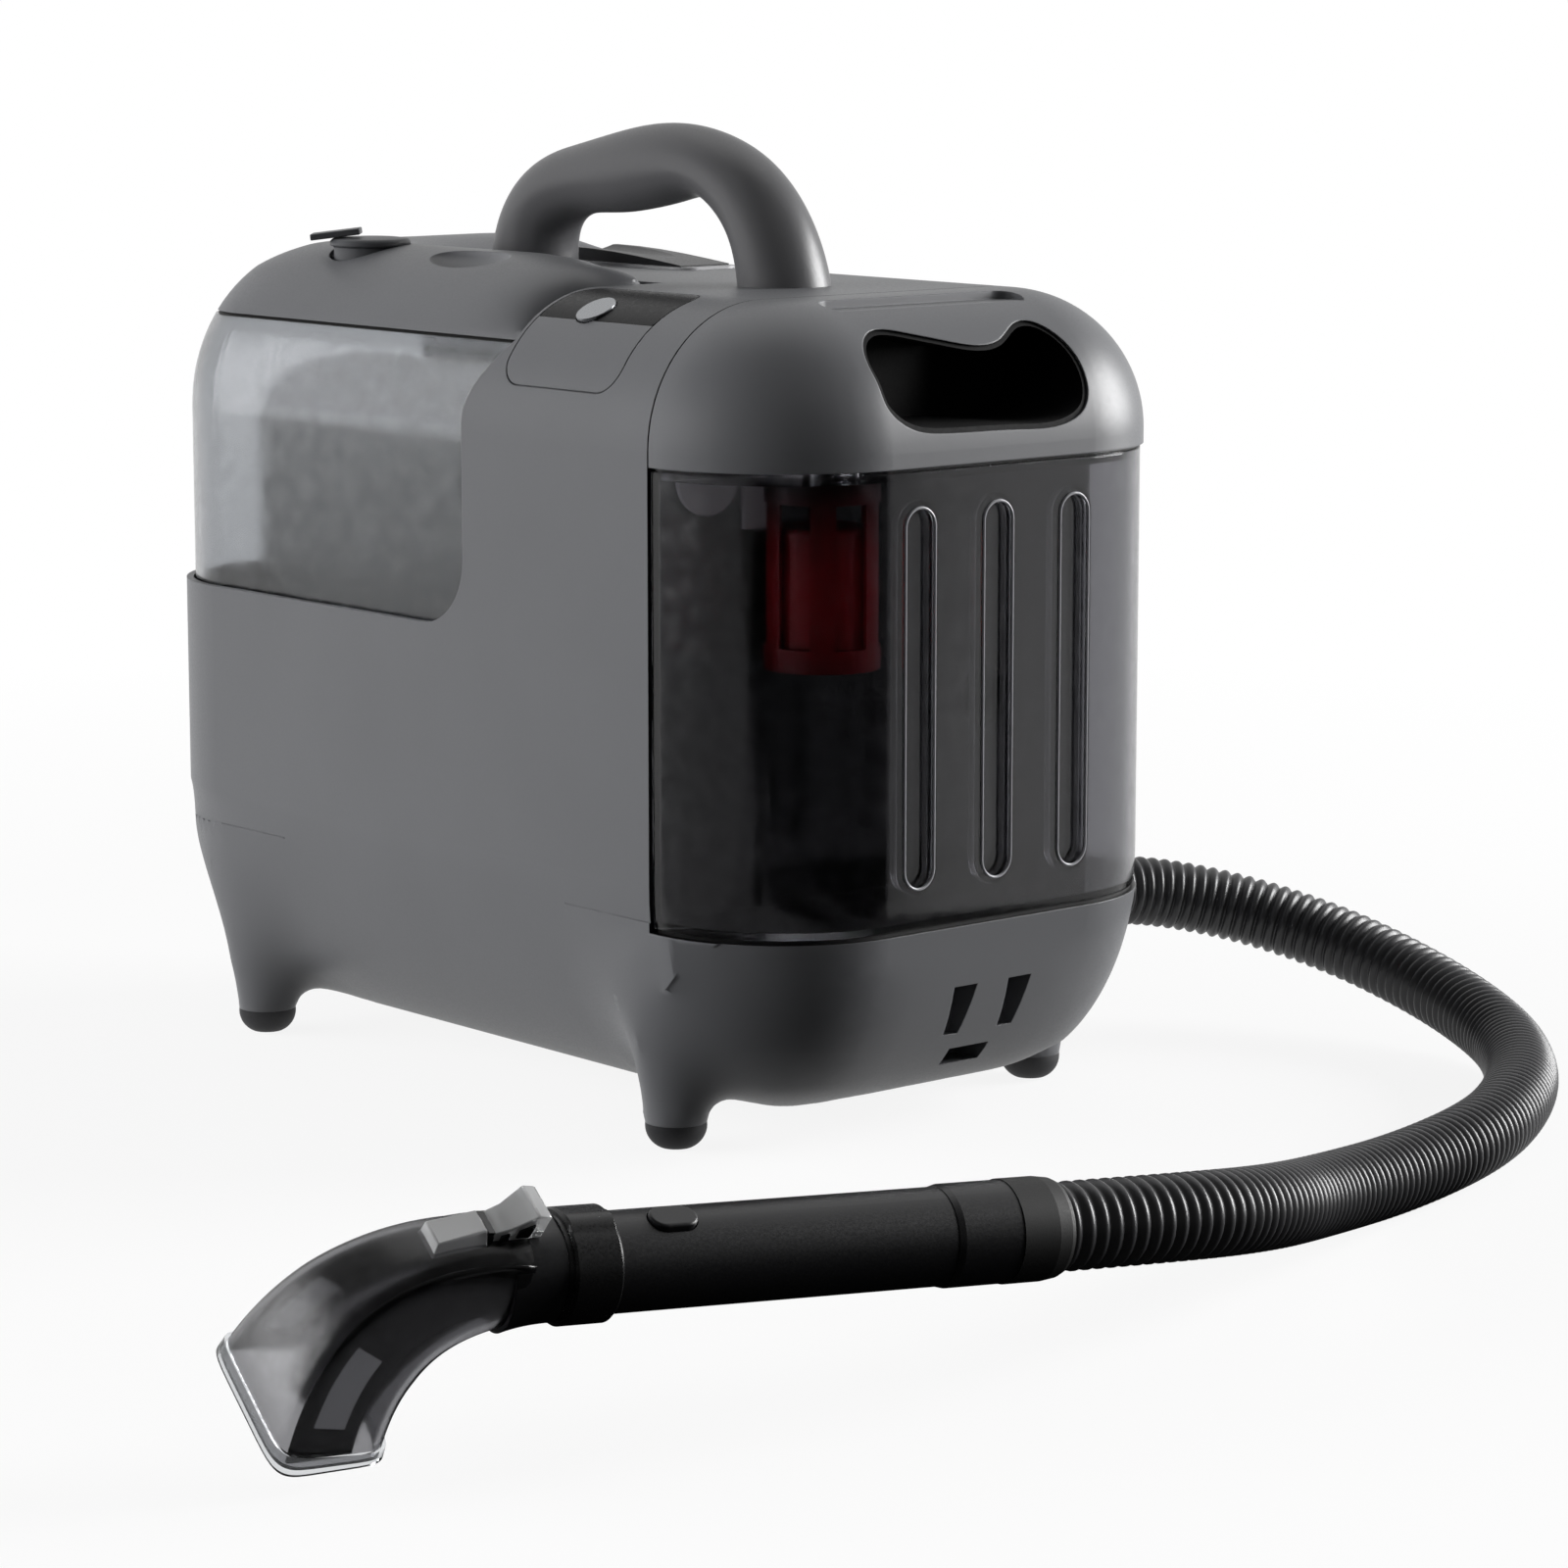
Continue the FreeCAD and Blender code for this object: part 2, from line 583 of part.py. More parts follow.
def main_housing():
    """Grey casing: walls, bay walls, legs and chin in one moulding."""
    outer = body_form().fuse([leg_form(x, y) for x, y in leg_places()])
    outer = outer.cut(front_space())
    inner = body_form(WALL).cut(front_space(WALL))
    high = BODY_TOP + 30.0
    bay = tank_plan(-SLIDE_GAP, TANK_BOTTOM - SLIDE_GAP, high)
    bay_wire = plan_wire(0.0, TANK_BOTTOM - SLIDE_GAP, TANK_INSET - SLIDE_GAP)
    bay_outline = Part.Face(bay_wire).extrude(Vec(0, 0, high - TANK_BOTTOM))
    bay = bay.common(bay_outline)
    bay_walls = tank_plan(-SLIDE_GAP - WALL, TANK_BOTTOM - SLIDE_GAP - WALL, high)
    slots = slot_prisms()
    slot_walls = slot_prisms(1.6)
    cavity = inner.cut(bay_walls).cut(slot_walls[0].multiFuse(slot_walls[1:]))
    cuts = [bay, rim_cut(), cavity] + slots
    cuts.append(plate_opening())
    panel = slope_prism(PANEL_LOW - PANEL_GAP, PANEL_HIGH + PANEL_GAP, PANEL_FRONT - PANEL_GAP,
                        PANEL_REAR + PANEL_GAP, PANEL_RADIUS, PANEL_REACH)
    cuts.append(panel.common(shoulder_skin(PANEL_DEPTH + 0.1, True)))
    cuts.append(cylinder(BUTTON_RADIUS - 1.0, button_seat() - button_axis() * 12.0, 14.0, button_axis()))
    cuts.append(cylinder(PORT_RADIUS - 2.0, Vec(PORT_INNER, PORT_Y, PORT_Z), 40.0, ALONG_X))
    cuts.append(cylinder(INLET_RADIUS + SEAL_WIDTH, Vec(INLET_X, SEAM_Y - 1.0, INLET_Z), WALL + 2.0,
                         ALONG_Y))
    cuts.append(cylinder(DUCT_RADIUS + SEAL_WIDTH, Vec(MOTOR_X, SEAM_Y - 1.0, VACUUM_Z), WALL + 2.0,
                         ALONG_Y))
    cuts.append(block(BODY_HALF_WIDTH - 6.0, BODY_HALF_WIDTH + 4.0, MOTOR_Y - GRILLE_WIDTH / 2,
                      MOTOR_Y + GRILLE_WIDTH / 2, GRILLE_LOW, GRILLE_HIGH))
    cuts.append(cylinder(SEAT_RADIUS - 3.0, Vec(VALVE_X, VALVE_Y, TANK_BOTTOM - 8.0), 10.0))
    cuts.append(block(POWER_X - POWER_WIDTH / 2, POWER_X + POWER_WIDTH / 2, BODY_REAR - 6.0, BODY_REAR + 4.0,
                      POWER_Z - POWER_HEIGHT / 2, POWER_Z + POWER_HEIGHT / 2))
    for x, y in leg_places():
        cuts.append(cylinder(PAD_STUD_RADIUS + SHAFT_GAP, Vec(x, y, PAD_HEIGHT - 1.0),
                             PAD_STUD_LENGTH + 1.5))
    return solid_of(outer.cut(cuts))


def shoulder_skin(depth, outwards=False):
    """Skin of the left shoulder down to a depth; outwards keeps what stands outside it too."""
    x0 = -(BODY_HALF_WIDTH - SHOULDER_RADIUS)
    z0 = BODY_TOP - SHOULDER_RADIUS
    length = PANEL_REAR - PANEL_FRONT + 40.0
    base = Vec(x0, PANEL_FRONT - 20.0, z0)
    outer = cylinder(SHOULDER_RADIUS + (6.0 if outwards else 0.0), base, length, ALONG_Y)
    return outer.cut(cylinder(SHOULDER_RADIUS - depth, base, length, ALONG_Y))


def foot_pads():
    """Four soft tips, each with a stud in its leg."""
    pads = []
    for x, y in leg_places():
        profile = [
            Part.makeLine(Vec(0, 0, 0), Vec(PAD_FLAT_RADIUS, 0, 0)),
            Part.Arc(Vec(PAD_FLAT_RADIUS, 0, 0), Vec(LEG_TIP_RADIUS - 1.5, 0, 2.9),
                     Vec(LEG_TIP_RADIUS, 0, PAD_HEIGHT)).toShape(),
            Part.makeLine(Vec(LEG_TIP_RADIUS, 0, PAD_HEIGHT), Vec(0, 0, PAD_HEIGHT)),
            Part.makeLine(Vec(0, 0, PAD_HEIGHT), Vec(0, 0, 0)),
        ]
        tip = Part.Face(Part.Wire(profile)).revolve(Vec(0, 0, 0), UP, 360)
        tip.translate(Vec(x, y, 0))
        stud = cylinder(PAD_STUD_RADIUS, Vec(x, y, PAD_HEIGHT - 0.5), PAD_STUD_LENGTH + 0.5)
        pads.append(solid_of(tip.fuse(stud)))
    return Part.makeCompound(pads)


def screw_places():
    for x in (-1, 1):
        for y in (PLATE_FRONT - PLATE_LIP / 2 + 12.0, (PLATE_FRONT + PLATE_REAR) / 2,
                  PLATE_REAR + PLATE_LIP / 2 - 12.0):
            yield x * (PLATE_HALF_WIDTH - 5.0), y


def base_plate():
    """Black floor plate let into the belly, with two bulges below it."""
    lip = slab(-PLATE_HALF_WIDTH - PLATE_LIP, PLATE_HALF_WIDTH + PLATE_LIP, PLATE_FRONT - PLATE_LIP,
               PLATE_REAR + PLATE_LIP,
               PLATE_RADIUS + PLATE_LIP, BODY_BOTTOM - PLATE_THICKNESS, BODY_BOTTOM)
    raised = slab(-PLATE_HALF_WIDTH + SEAM_GAP, PLATE_HALF_WIDTH - SEAM_GAP, PLATE_FRONT + SEAM_GAP,
                  PLATE_REAR - SEAM_GAP,
                  PLATE_RADIUS - SEAM_GAP, BODY_BOTTOM - 0.5, BODY_BOTTOM + WALL + 2.0)
    plate = lip.fuse(raised)
    for x, y, radius, depth in BULGES:
        sphere_radius = (radius ** 2 + depth ** 2) / (2 * depth)
        ball = Part.makeSphere(sphere_radius,
                               Vec(x, y, BODY_BOTTOM - PLATE_THICKNESS - depth + sphere_radius))
        cap = ball.common(cylinder(radius, Vec(x, y, 0), BODY_BOTTOM - PLATE_THICKNESS + 0.5))
        plate = plate.fuse(cap)
    holes = []
    for x, y in screw_places():
        holes.append(cylinder(SCREW_RADIUS + 0.2, Vec(x, y, 0), 40.0))
        holes.append(cylinder(SCREW_HEAD_RADIUS + 0.3, Vec(x, y, 0),
                              BODY_BOTTOM - PLATE_THICKNESS + SCREW_HEAD + 0.2))
    return solid_of(plate.cut(holes).removeSplitter())


def base_screws():
    head_low = BODY_BOTTOM - PLATE_THICKNESS + 0.2
    screws = []
    for x, y in screw_places():
        head = cylinder(SCREW_HEAD_RADIUS, Vec(x, y, head_low), SCREW_HEAD)
        shank = cylinder(SCREW_RADIUS, Vec(x, y, head_low), 6.5)
        cross = block(x - 2.2, x + 2.2, y - 0.5, y + 0.5, head_low - 1.0, head_low + 1.0)
        screws.append(solid_of(head.fuse(shank).cut(cross).removeSplitter()))
    return Part.makeCompound(screws)


def tangents(points):
    """Unit direction at each point of a plane line of (y, z) pairs."""
    result = []
    for index in range(len(points)):
        before = points[max(index - 1, 0)]
        after = points[min(index + 1, len(points) - 1)]
        step = Vec(0, after[0] - before[0], after[1] - before[1])
        step.normalize()
        result.append(step)
    return result


def ellipse_at(centre, direction, half_width, half_height):
    """Ellipse square to a direction in the plane x = 0, wide along X."""
    normal = direction.cross(ALONG_X)
    wide = max(half_width, half_height)
    narrow = min(half_width, half_height)
    major = ALONG_X if half_width >= half_height else normal
    if abs(wide - narrow) < 0.01:
        wide += 0.02
    minor = normal if half_width >= half_height else ALONG_X
    curve = Part.Ellipse(centre + major * wide, centre + minor * narrow, centre)
    return Part.Wire([curve.toShape()])


def handle_loft(wall):
    directions = tangents(HANDLE_LINE)
    wires = []
    for (y, z, half_width, half_height), direction in zip(HANDLE_LINE, directions):
        centre = Vec(0, y, BODY_TOP + z)
        wires.append(ellipse_at(centre, direction, half_width - wall, half_height - wall))
    return Part.makeLoft(wires, True, False)


def carry_handle():
    """Hollow loop handle that stands on the body's top."""
    below = block(-60.0, 60.0, BODY_FRONT, BODY_REAR, BODY_TOP - 30.0, BODY_TOP)
    return solid_of(handle_loft(0.0).cut(handle_loft(HANDLE_WALL)).cut(below))


def control_panel():
    prism = slope_prism(PANEL_LOW, PANEL_HIGH, PANEL_FRONT, PANEL_REAR, PANEL_RADIUS - PANEL_GAP,
                        PANEL_REACH)
    panel = prism.common(shoulder_skin(PANEL_DEPTH))
    strip = slope_prism(STRIP_LOW, PANEL_HIGH + 1.0, PANEL_FRONT - 1.0, PANEL_REAR + 1.0, 2.0, PANEL_REACH)
    panel = panel.cut(strip.common(shoulder_skin(STRIP_DEPTH, True)))
    return solid_of(panel.cut(button_hole()))


def control_strip():
    prism = slope_prism(STRIP_LOW + 0.15, PANEL_HIGH, PANEL_FRONT, PANEL_REAR, 1.5, PANEL_REACH)
    outline = slope_prism(PANEL_LOW, PANEL_HIGH, PANEL_FRONT, PANEL_REAR, PANEL_RADIUS - PANEL_GAP,
                          PANEL_REACH)
    strip = prism.common(outline).common(shoulder_skin(STRIP_DEPTH))
    return solid_of(strip.cut(button_hole()))


def button_hole():
    """What the button's head takes out of the panel and its strip."""
    return cylinder(BUTTON_RADIUS + GAP, button_seat() - button_axis() * 8.0, 12.0, button_axis())


def power_button():
    """Round push button with a stem through the casing."""
    axis = button_axis()
    head_low = button_seat() - axis * BUTTON_SINK
    thickness = BUTTON_SINK + BUTTON_PROUD
    cap = cylinder(BUTTON_RADIUS, head_low, thickness, axis)
    rim = []
    for edge in cap.Edges:
        if edge.isClosed() and (edge.CenterOfMass - head_low).dot(axis) > thickness - 0.01:
            rim.append(edge)
    cap = cap.makeFillet(0.4, rim)
    stem = cylinder(BUTTON_RADIUS - 3.0, head_low - axis * BUTTON_LENGTH, BUTTON_LENGTH + 0.3, axis)
    return solid_of(cap.fuse(stem).removeSplitter())


def power_switch():
    """Switch body under the button, with a ring that meets the casing."""
    axis = button_axis()
    top = button_seat() - axis * SWITCH_TOP
    body = cylinder(BUTTON_RADIUS + 2.0, top - axis * SWITCH_HEIGHT, SWITCH_HEIGHT, axis)
    wall_ring = ring(BUTTON_RADIUS + 2.0, BUTTON_RADIUS - 1.0, top, SWITCH_TOP, axis)
    return solid_of(body.fuse(wall_ring).removeSplitter().common(body_form(WALL)))


def button_spring():
    axis = button_axis()
    low = button_seat() - axis * SWITCH_TOP
    return spring_on(low, axis, BUTTON_RADIUS - 2.0, 0.45, SWITCH_TOP - BUTTON_SINK, 4)


def spring_on(base, axis, radius, wire, length, turns):
    """Coiled wire standing on base along axis, its ends just clear of both seats."""
    pitch = (length - 2 * wire - 0.1) / turns
    edges = []
    for index in range(2 * turns):
        points = []
        for half in (0.0, 0.25, 0.5):
            turn = index / 2 + half
            angle = 2 * math.pi * turn
            points.append(Vec(radius * math.cos(angle), radius * math.sin(angle),
                              wire + 0.05 + pitch * turn))
        edges.append(Part.Arc(*points).toShape())
    section = Part.Wire([Part.makeCircle(wire, edges[0].valueAt(edges[0].FirstParameter),
                                         edges[0].tangentAt(edges[0].FirstParameter))])
    coil = Part.Wire(edges).makePipeShell([section], True, False)
    coil.Placement = FreeCAD.Placement(base, FreeCAD.Rotation(UP, axis)).multiply(coil.Placement)
    return solid_of(coil)


def wand_cradle():
    """Low black arch on the right shoulder with a trough for the wand."""
    low = BODY_TOP + CRADLE_PAD
    profile = [(CRADLE_REAR, low), (CRADLE_REAR, low + 1.0)]
    for step in range(6):
        share = step / 5.0
        y = CRADLE_REAR - 6.0 + (CRADLE_FRONT - CRADLE_REAR + 6.0) * share
        profile.append((y, low + 0.6 + CRADLE_RISE * math.cos(math.radians(90.0 * share))))
    profile.append((CRADLE_FRONT, low))
    half = CRADLE_WIDTH / 2
    arch = side_prism(profile, CRADLE_X - half, CRADLE_X + half)
    trough_radius = CRADLE_WIDTH * 0.8
    trough = cylinder(trough_radius, Vec(CRADLE_X, CRADLE_FRONT - 5.0, low + 2.4 + trough_radius), 120.0,
                      ALONG_Y)
    return solid_of(arch.cut(trough))


def cradle_pad():
    half = CRADLE_WIDTH / 2 + 2.5
    return slab(CRADLE_X - half, CRADLE_X + half, CRADLE_FRONT - 5.0, CRADLE_REAR + 3.0, 7.0, BODY_TOP,
                BODY_TOP + CRADLE_PAD)


def casing_outside():
    """Body with its legs, the form that collars are cut to."""
    return body_form().fuse([leg_form(x, y) for x, y in leg_places()])


def hose_port():
    """Collar on the right side, with a spigot through the casing."""
    collar = cylinder(PORT_RADIUS, Vec(BODY_HALF_WIDTH - 15.0, PORT_Y, PORT_Z),
                      PORT_OUTER - BODY_HALF_WIDTH + 15.0, ALONG_X)
    lip = [edge for edge in collar.Edges if abs(edge.CenterOfMass.x - PORT_OUTER) < 0.01]
    collar = collar.makeFillet(1.5, lip).cut(casing_outside())
    collar = max(collar.Solids, key=lambda solid: solid.Volume)
    spigot = cylinder(PORT_RADIUS - 2.3, Vec(PORT_INNER, PORT_Y, PORT_Z), PORT_OUTER - PORT_INNER - 5.0,
                      ALONG_X)
    bore = cylinder(INLET_BORE, Vec(PORT_INNER - 1.0, PORT_Y, PORT_Z), 60.0, ALONG_X)
    return solid_of(collar.fuse(spigot).removeSplitter().cut(bore))


def routed_wire(points, radius=None, share=0.45):
    """Straight runs joined by tangent arcs; returns the wire and the radii used."""
    points = [Vec(*point) for point in points]
    edges = []
    radii = []
    last = points[0]
    for before, corner, after in zip(points[:-2], points[1:-1], points[2:]):
        inward = (corner - before).normalize()
        outward = (after - corner).normalize()
        half_turn = inward.getAngle(outward) / 2
        if radius is None:
            reach = share * min((corner - before).Length, (after - corner).Length)
        else:
            reach = radius * math.tan(half_turn)
        bend = reach / math.tan(half_turn)
        start = corner - inward * reach
        end = corner + outward * reach
        towards = (outward - inward).normalize()
        middle = corner + towards * (bend / math.cos(half_turn) - bend)
        edges.append(Part.LineSegment(last, start).toShape())
        edges.append(Part.Arc(start, middle, end).toShape())
        radii.append(bend)
        last = end
    edges.append(Part.LineSegment(last, points[-1]).toShape())
    return Part.Wire(edges), radii


def pipe(points, radius, outer, bore=0.0):
    """Round tube along a routed wire."""
    wire, radii = routed_wire(points, radius)
    direction = Vec(*points[1]) - Vec(*points[0])
    section = Part.Wire([Part.makeCircle(outer, Vec(*points[0]), direction)])
    tube = wire.makePipeShell([section], True, False)
    if bore > 0:
        hole = Part.Wire([Part.makeCircle(bore, Vec(*points[0]), direction)])
        tube = tube.cut(wire.makePipeShell([hole], True, False))
    return solid_of(tube)


def inlet_duct():
    """Duct from the hose port up and forward to the recovery tank."""
    points = [
        (PORT_INNER, PORT_Y, PORT_Z),
        (INLET_X, PORT_Y, PORT_Z),
        (INLET_X, PORT_Y, INLET_Z),
        (INLET_X, SEAM_Y, INLET_Z),
    ]
    return pipe(points, INLET_BEND, INLET_RADIUS, INLET_BORE)


def vacuum_duct():
    """Duct from the lid's chamber to the eye of the fan."""
    points = [
        (MOTOR_X, SEAM_Y, VACUUM_Z),
        (MOTOR_X, MOTOR_Y, VACUUM_Z),
        (MOTOR_X, MOTOR_Y, MOTOR_HIGH + FAN_HEIGHT),
    ]
    return pipe(points, DUCT_BEND, DUCT_RADIUS, DUCT_RADIUS - DUCT_WALL)


def duct_seals():
    """Rubber rings round both ducts in the bay wall."""
    shapes = []
    for x, z, radius in ((INLET_X, INLET_Z, INLET_RADIUS), (MOTOR_X, VACUUM_Z, DUCT_RADIUS)):
        shapes.append(ring(radius + SEAL_WIDTH, radius, Vec(x, SEAM_Y - 0.4, z), WALL + 0.4, ALONG_Y))
    return Part.makeCompound(shapes)


def motor_mount():
    low = BODY_BOTTOM + WALL + 2.0
    base = cylinder(MOTOR_RADIUS - 6.0, Vec(MOTOR_X, MOTOR_Y, low), MOTOR_LOW - low)
    return base.cut(cylinder(MOTOR_RADIUS - 14.0, Vec(MOTOR_X, MOTOR_Y, low + 3.0), MOTOR_LOW))


def suction_motor():
    """Closed motor can with a rib round each end."""
    base = Vec(MOTOR_X, MOTOR_Y, MOTOR_LOW)
    can = cylinder(MOTOR_RADIUS - 2.0, base, MOTOR_HIGH - MOTOR_LOW)
    low_rib = cylinder(MOTOR_RADIUS, base + UP * 3.0, 12.0)
    high_rib = cylinder(MOTOR_RADIUS, base + UP * (MOTOR_HIGH - MOTOR_LOW - 14.0), 11.0)
    can = can.fuse([low_rib, high_rib]).removeSplitter()
    return solid_of(can.cut(cylinder(SHAFT_RADIUS + SHAFT_GAP,
                                     base + UP * (MOTOR_HIGH - MOTOR_LOW - 8.0), 10.0)))


def fan_housing():
    base = Vec(MOTOR_X, MOTOR_Y, MOTOR_HIGH)
    shell = cylinder(FAN_RADIUS, base, FAN_HEIGHT)
    shell = shell.cut(cylinder(FAN_RADIUS - FAN_WALL, base + UP * FAN_WALL, FAN_HEIGHT - 2 * FAN_WALL))
    shell = shell.cut(cylinder(SHAFT_RADIUS + SHAFT_GAP, base - UP, FAN_WALL + 2.0))
    shell = shell.cut(cylinder(DUCT_RADIUS - DUCT_WALL, base + UP * (FAN_HEIGHT - FAN_WALL - 1.0),
                               FAN_WALL + 2.0))
    half = GRILLE_WIDTH / 2 - 3.0
    window = block(MOTOR_X + 20.0, MOTOR_X + FAN_RADIUS + 2.0, MOTOR_Y - half, MOTOR_Y + half,
                   GRILLE_LOW, GRILLE_HIGH - 2.0)
    return solid_of(shell.cut(window))


def exhaust_duct():
    """Box duct from the side of the fan housing to the grille."""
    half = GRILLE_WIDTH / 2
    inner_x = BODY_HALF_WIDTH - WALL - GRILLE_FLANGE
    outer = block(MOTOR_X + 20.0, inner_x, MOTOR_Y - half, MOTOR_Y + half, GRILLE_LOW - 2.0, GRILLE_HIGH)
    inner = block(MOTOR_X, inner_x + 1.0, MOTOR_Y - half + 2.0, MOTOR_Y + half - 2.0, GRILLE_LOW,
                  GRILLE_HIGH - 2.0)
    fan_space = cylinder(FAN_RADIUS, Vec(MOTOR_X, MOTOR_Y, MOTOR_HIGH - 20.0), 80.0)
    return solid_of(outer.cut(inner).cut(fan_space))


def exhaust_grille():
    """Slatted grille let into the right wall, with its flange inside."""
    wall_x = BODY_HALF_WIDTH - WALL
    half = GRILLE_WIDTH / 2
    flange = block(wall_x - GRILLE_FLANGE, wall_x, MOTOR_Y - half - 3.0, MOTOR_Y + half + 3.0,
                   GRILLE_LOW - 3.0, GRILLE_HIGH + 3.0)
    body = block(wall_x - 0.5, BODY_HALF_WIDTH - 0.4, MOTOR_Y - half + GAP, MOTOR_Y + half - GAP,
                 GRILLE_LOW + GAP, GRILLE_HIGH - GAP)
    grille = flange.fuse(body)
    pitch = (GRILLE_HIGH - GRILLE_LOW - 4.0) / GRILLE_SLATS
    for index in range(GRILLE_SLATS):
        low = GRILLE_LOW + 2.6 + index * pitch
        grille = grille.cut(block(wall_x - 5.0, BODY_HALF_WIDTH + 1.0, MOTOR_Y - half + 4.0,
                                  MOTOR_Y + half - 4.0, low, low + pitch * 0.6))
    return solid_of(grille.removeSplitter())


def impeller():
    """Fan wheel: hub, back disc and swept blades, fixed on the shaft."""
    base = Vec(MOTOR_X, MOTOR_Y, MOTOR_HIGH + FAN_WALL + 3.0)
    wheel = cylinder(IMPELLER_RADIUS, base, 2.0).fuse(cylinder(8.0, base, IMPELLER_HEIGHT))
    blades = []
    for index in range(IMPELLER_BLADES):
        blade = block(5.0, IMPELLER_RADIUS - 2.0, -0.8, 0.8, 1.0, IMPELLER_HEIGHT - 3.0)
        blade.rotate(Vec(7.0, 0, 0), UP, -18.0)
        blade.rotate(Vec(0, 0, 0), UP, 360.0 * index / IMPELLER_BLADES)
        blade.translate(base)
        blades.append(blade)
    wheel = wheel.fuse(blades).cut(cylinder(SHAFT_RADIUS, base - UP, IMPELLER_HEIGHT + 4.0))
    return solid_of(wheel.removeSplitter())


def motor_shaft():
    low = MOTOR_HIGH - 7.0
    high = MOTOR_HIGH + FAN_WALL + 3.0 + IMPELLER_HEIGHT + 2.0
    return cylinder(SHAFT_RADIUS, Vec(MOTOR_X, MOTOR_Y, low), high - low)


def pump():
    """Small pump: block body with a round head to the front."""
    x0 = PUMP_X - PUMP_SIZE[0] / 2
    y0 = PUMP_Y - PUMP_SIZE[1] / 2
    body = slab(x0, x0 + PUMP_SIZE[0], y0, y0 + PUMP_SIZE[1], 4.0, PUMP_LOW, PUMP_LOW + PUMP_SIZE[2])
    head = cylinder(13.0, Vec(PUMP_X, y0 - 7.0, PUMP_LOW + PUMP_SIZE[2] / 2), 9.0, ALONG_Y)
    return solid_of(body.fuse(head).removeSplitter())


def pump_mount():
    low = BODY_BOTTOM + WALL + 2.0
    x0 = PUMP_X - PUMP_SIZE[0] / 2 - 2.0
    y0 = PUMP_Y - PUMP_SIZE[1] / 2 + 3.0
    return slab(x0, x0 + PUMP_SIZE[0] + 4.0, y0, PUMP_Y + PUMP_SIZE[1] / 2, 5.0, low, PUMP_LOW)


def supply_tube():
    """Water line from the valve seat to the pump."""
    top = PUMP_LOW + PUMP_SIZE[2]
    level = 78.0
    points = [
        (VALVE_X, VALVE_Y, SEAT_LOW),
        (VALVE_X, VALVE_Y, level),
        (PUMP_X, PUMP_Y + 8.0, level),
        (PUMP_X, PUMP_Y + 8.0, top),
    ]
    return pipe(points, 9.0, 4.0, 2.6)


def delivery_tube():
    """Pressure line from the pump to the hose port."""
    y = PORT_Y - PORT_RADIUS + 4.15
    low = PUMP_LOW + PUMP_SIZE[2] / 2
    points = [
        (PUMP_X + PUMP_SIZE[0] / 2, y, low),
        (PUMP_X + PUMP_SIZE[0] / 2 + 26.0, y, low),
        (PORT_INNER - 30.0, y, PORT_Z),
        (PORT_INNER, y, PORT_Z),
    ]
    return pipe(points, 12.0, 1.7, 0.9)


def valve_seat():
    """Cup under the tank bay that the tank's valve plugs into."""
    under = TANK_BOTTOM - SLIDE_GAP - WALL
    seat = cylinder(SEAT_RADIUS, Vec(VALVE_X, VALVE_Y, SEAT_LOW), under - SEAT_LOW)
    seat = seat.cut(cylinder(VALVE_RADIUS + GAP, Vec(VALVE_X, VALVE_Y, SEAT_LOW + 4.0), 20.0))
    return seat.cut(cylinder(2.6, Vec(VALVE_X, VALVE_Y, SEAT_LOW - 1.0), 8.0))


def valve_body():
    """Plug through the tank floor with a chamber for the poppet and its spring."""
    base = Vec(VALVE_X, VALVE_Y, 0)
    body = cylinder(VALVE_RADIUS, base + UP * VALVE_LOW, VALVE_HIGH - VALVE_LOW)
    body = body.cut(cylinder(VALVE_BORE, base + UP * (VALVE_LOW - 1.0), VALVE_SHELF - VALVE_LOW + 2.0))
    body = body.cut(cylinder(VALVE_RADIUS - 2.0, base + UP * VALVE_SHELF, VALVE_HIGH - VALVE_SHELF - 2.0))
    for along_x, along_y in ((VALVE_RADIUS + 2.0, 3.0), (3.0, VALVE_RADIUS + 2.0)):
        window = block(VALVE_X - along_x, VALVE_X + along_x, VALVE_Y - along_y, VALVE_Y + along_y,
                       VALVE_SHELF + 1.0, VALVE_HIGH - 3.0)
        body = body.cut(window)
    return solid_of(body)


def valve_poppet():
    base = Vec(VALVE_X, VALVE_Y, 0)
    stem = cylinder(POPPET_RADIUS, base + UP * (VALVE_LOW + 1.2), VALVE_SHELF - VALVE_LOW)
    head = cylinder(POPPET_HEAD, base + UP * VALVE_SHELF, 2.0)
    return solid_of(stem.fuse(head).removeSplitter())


def valve_spring():
    length = VALVE_HIGH - 2.0 - VALVE_SHELF - 2.0
    return spring_on(Vec(VALVE_X, VALVE_Y, VALVE_SHELF + 2.0), UP, 4.2, 0.5, length, 4)


def circuit_board():
    board = block(BOARD_X, BOARD_X + BOARD_THICKNESS, BOARD_FRONT, BOARD_REAR, BOARD_LOW, BOARD_HIGH)
    parts = []
    face = BOARD_X + BOARD_THICKNESS
    middle = (BOARD_FRONT + BOARD_REAR) / 2
    for along, up, wide, tall, deep in BOARD_PARTS:
        y = middle + along
        z = BOARD_LOW + up
        parts.append(block(face - 0.2, face + deep, y - wide / 2, y + wide / 2, z - tall / 2, z + tall / 2))
    return solid_of(board.fuse(parts).removeSplitter())


def board_posts():
    posts = []
    for y in (BOARD_FRONT + 6.0, BOARD_REAR - 6.0):
        for z in (BOARD_LOW + 6.0, BOARD_HIGH - 6.0):
            start = Vec(-BODY_HALF_WIDTH + WALL, y, z)
            posts.append(cylinder(3.0, start, BOARD_X - start.x, ALONG_X))
    return Part.makeCompound(posts)


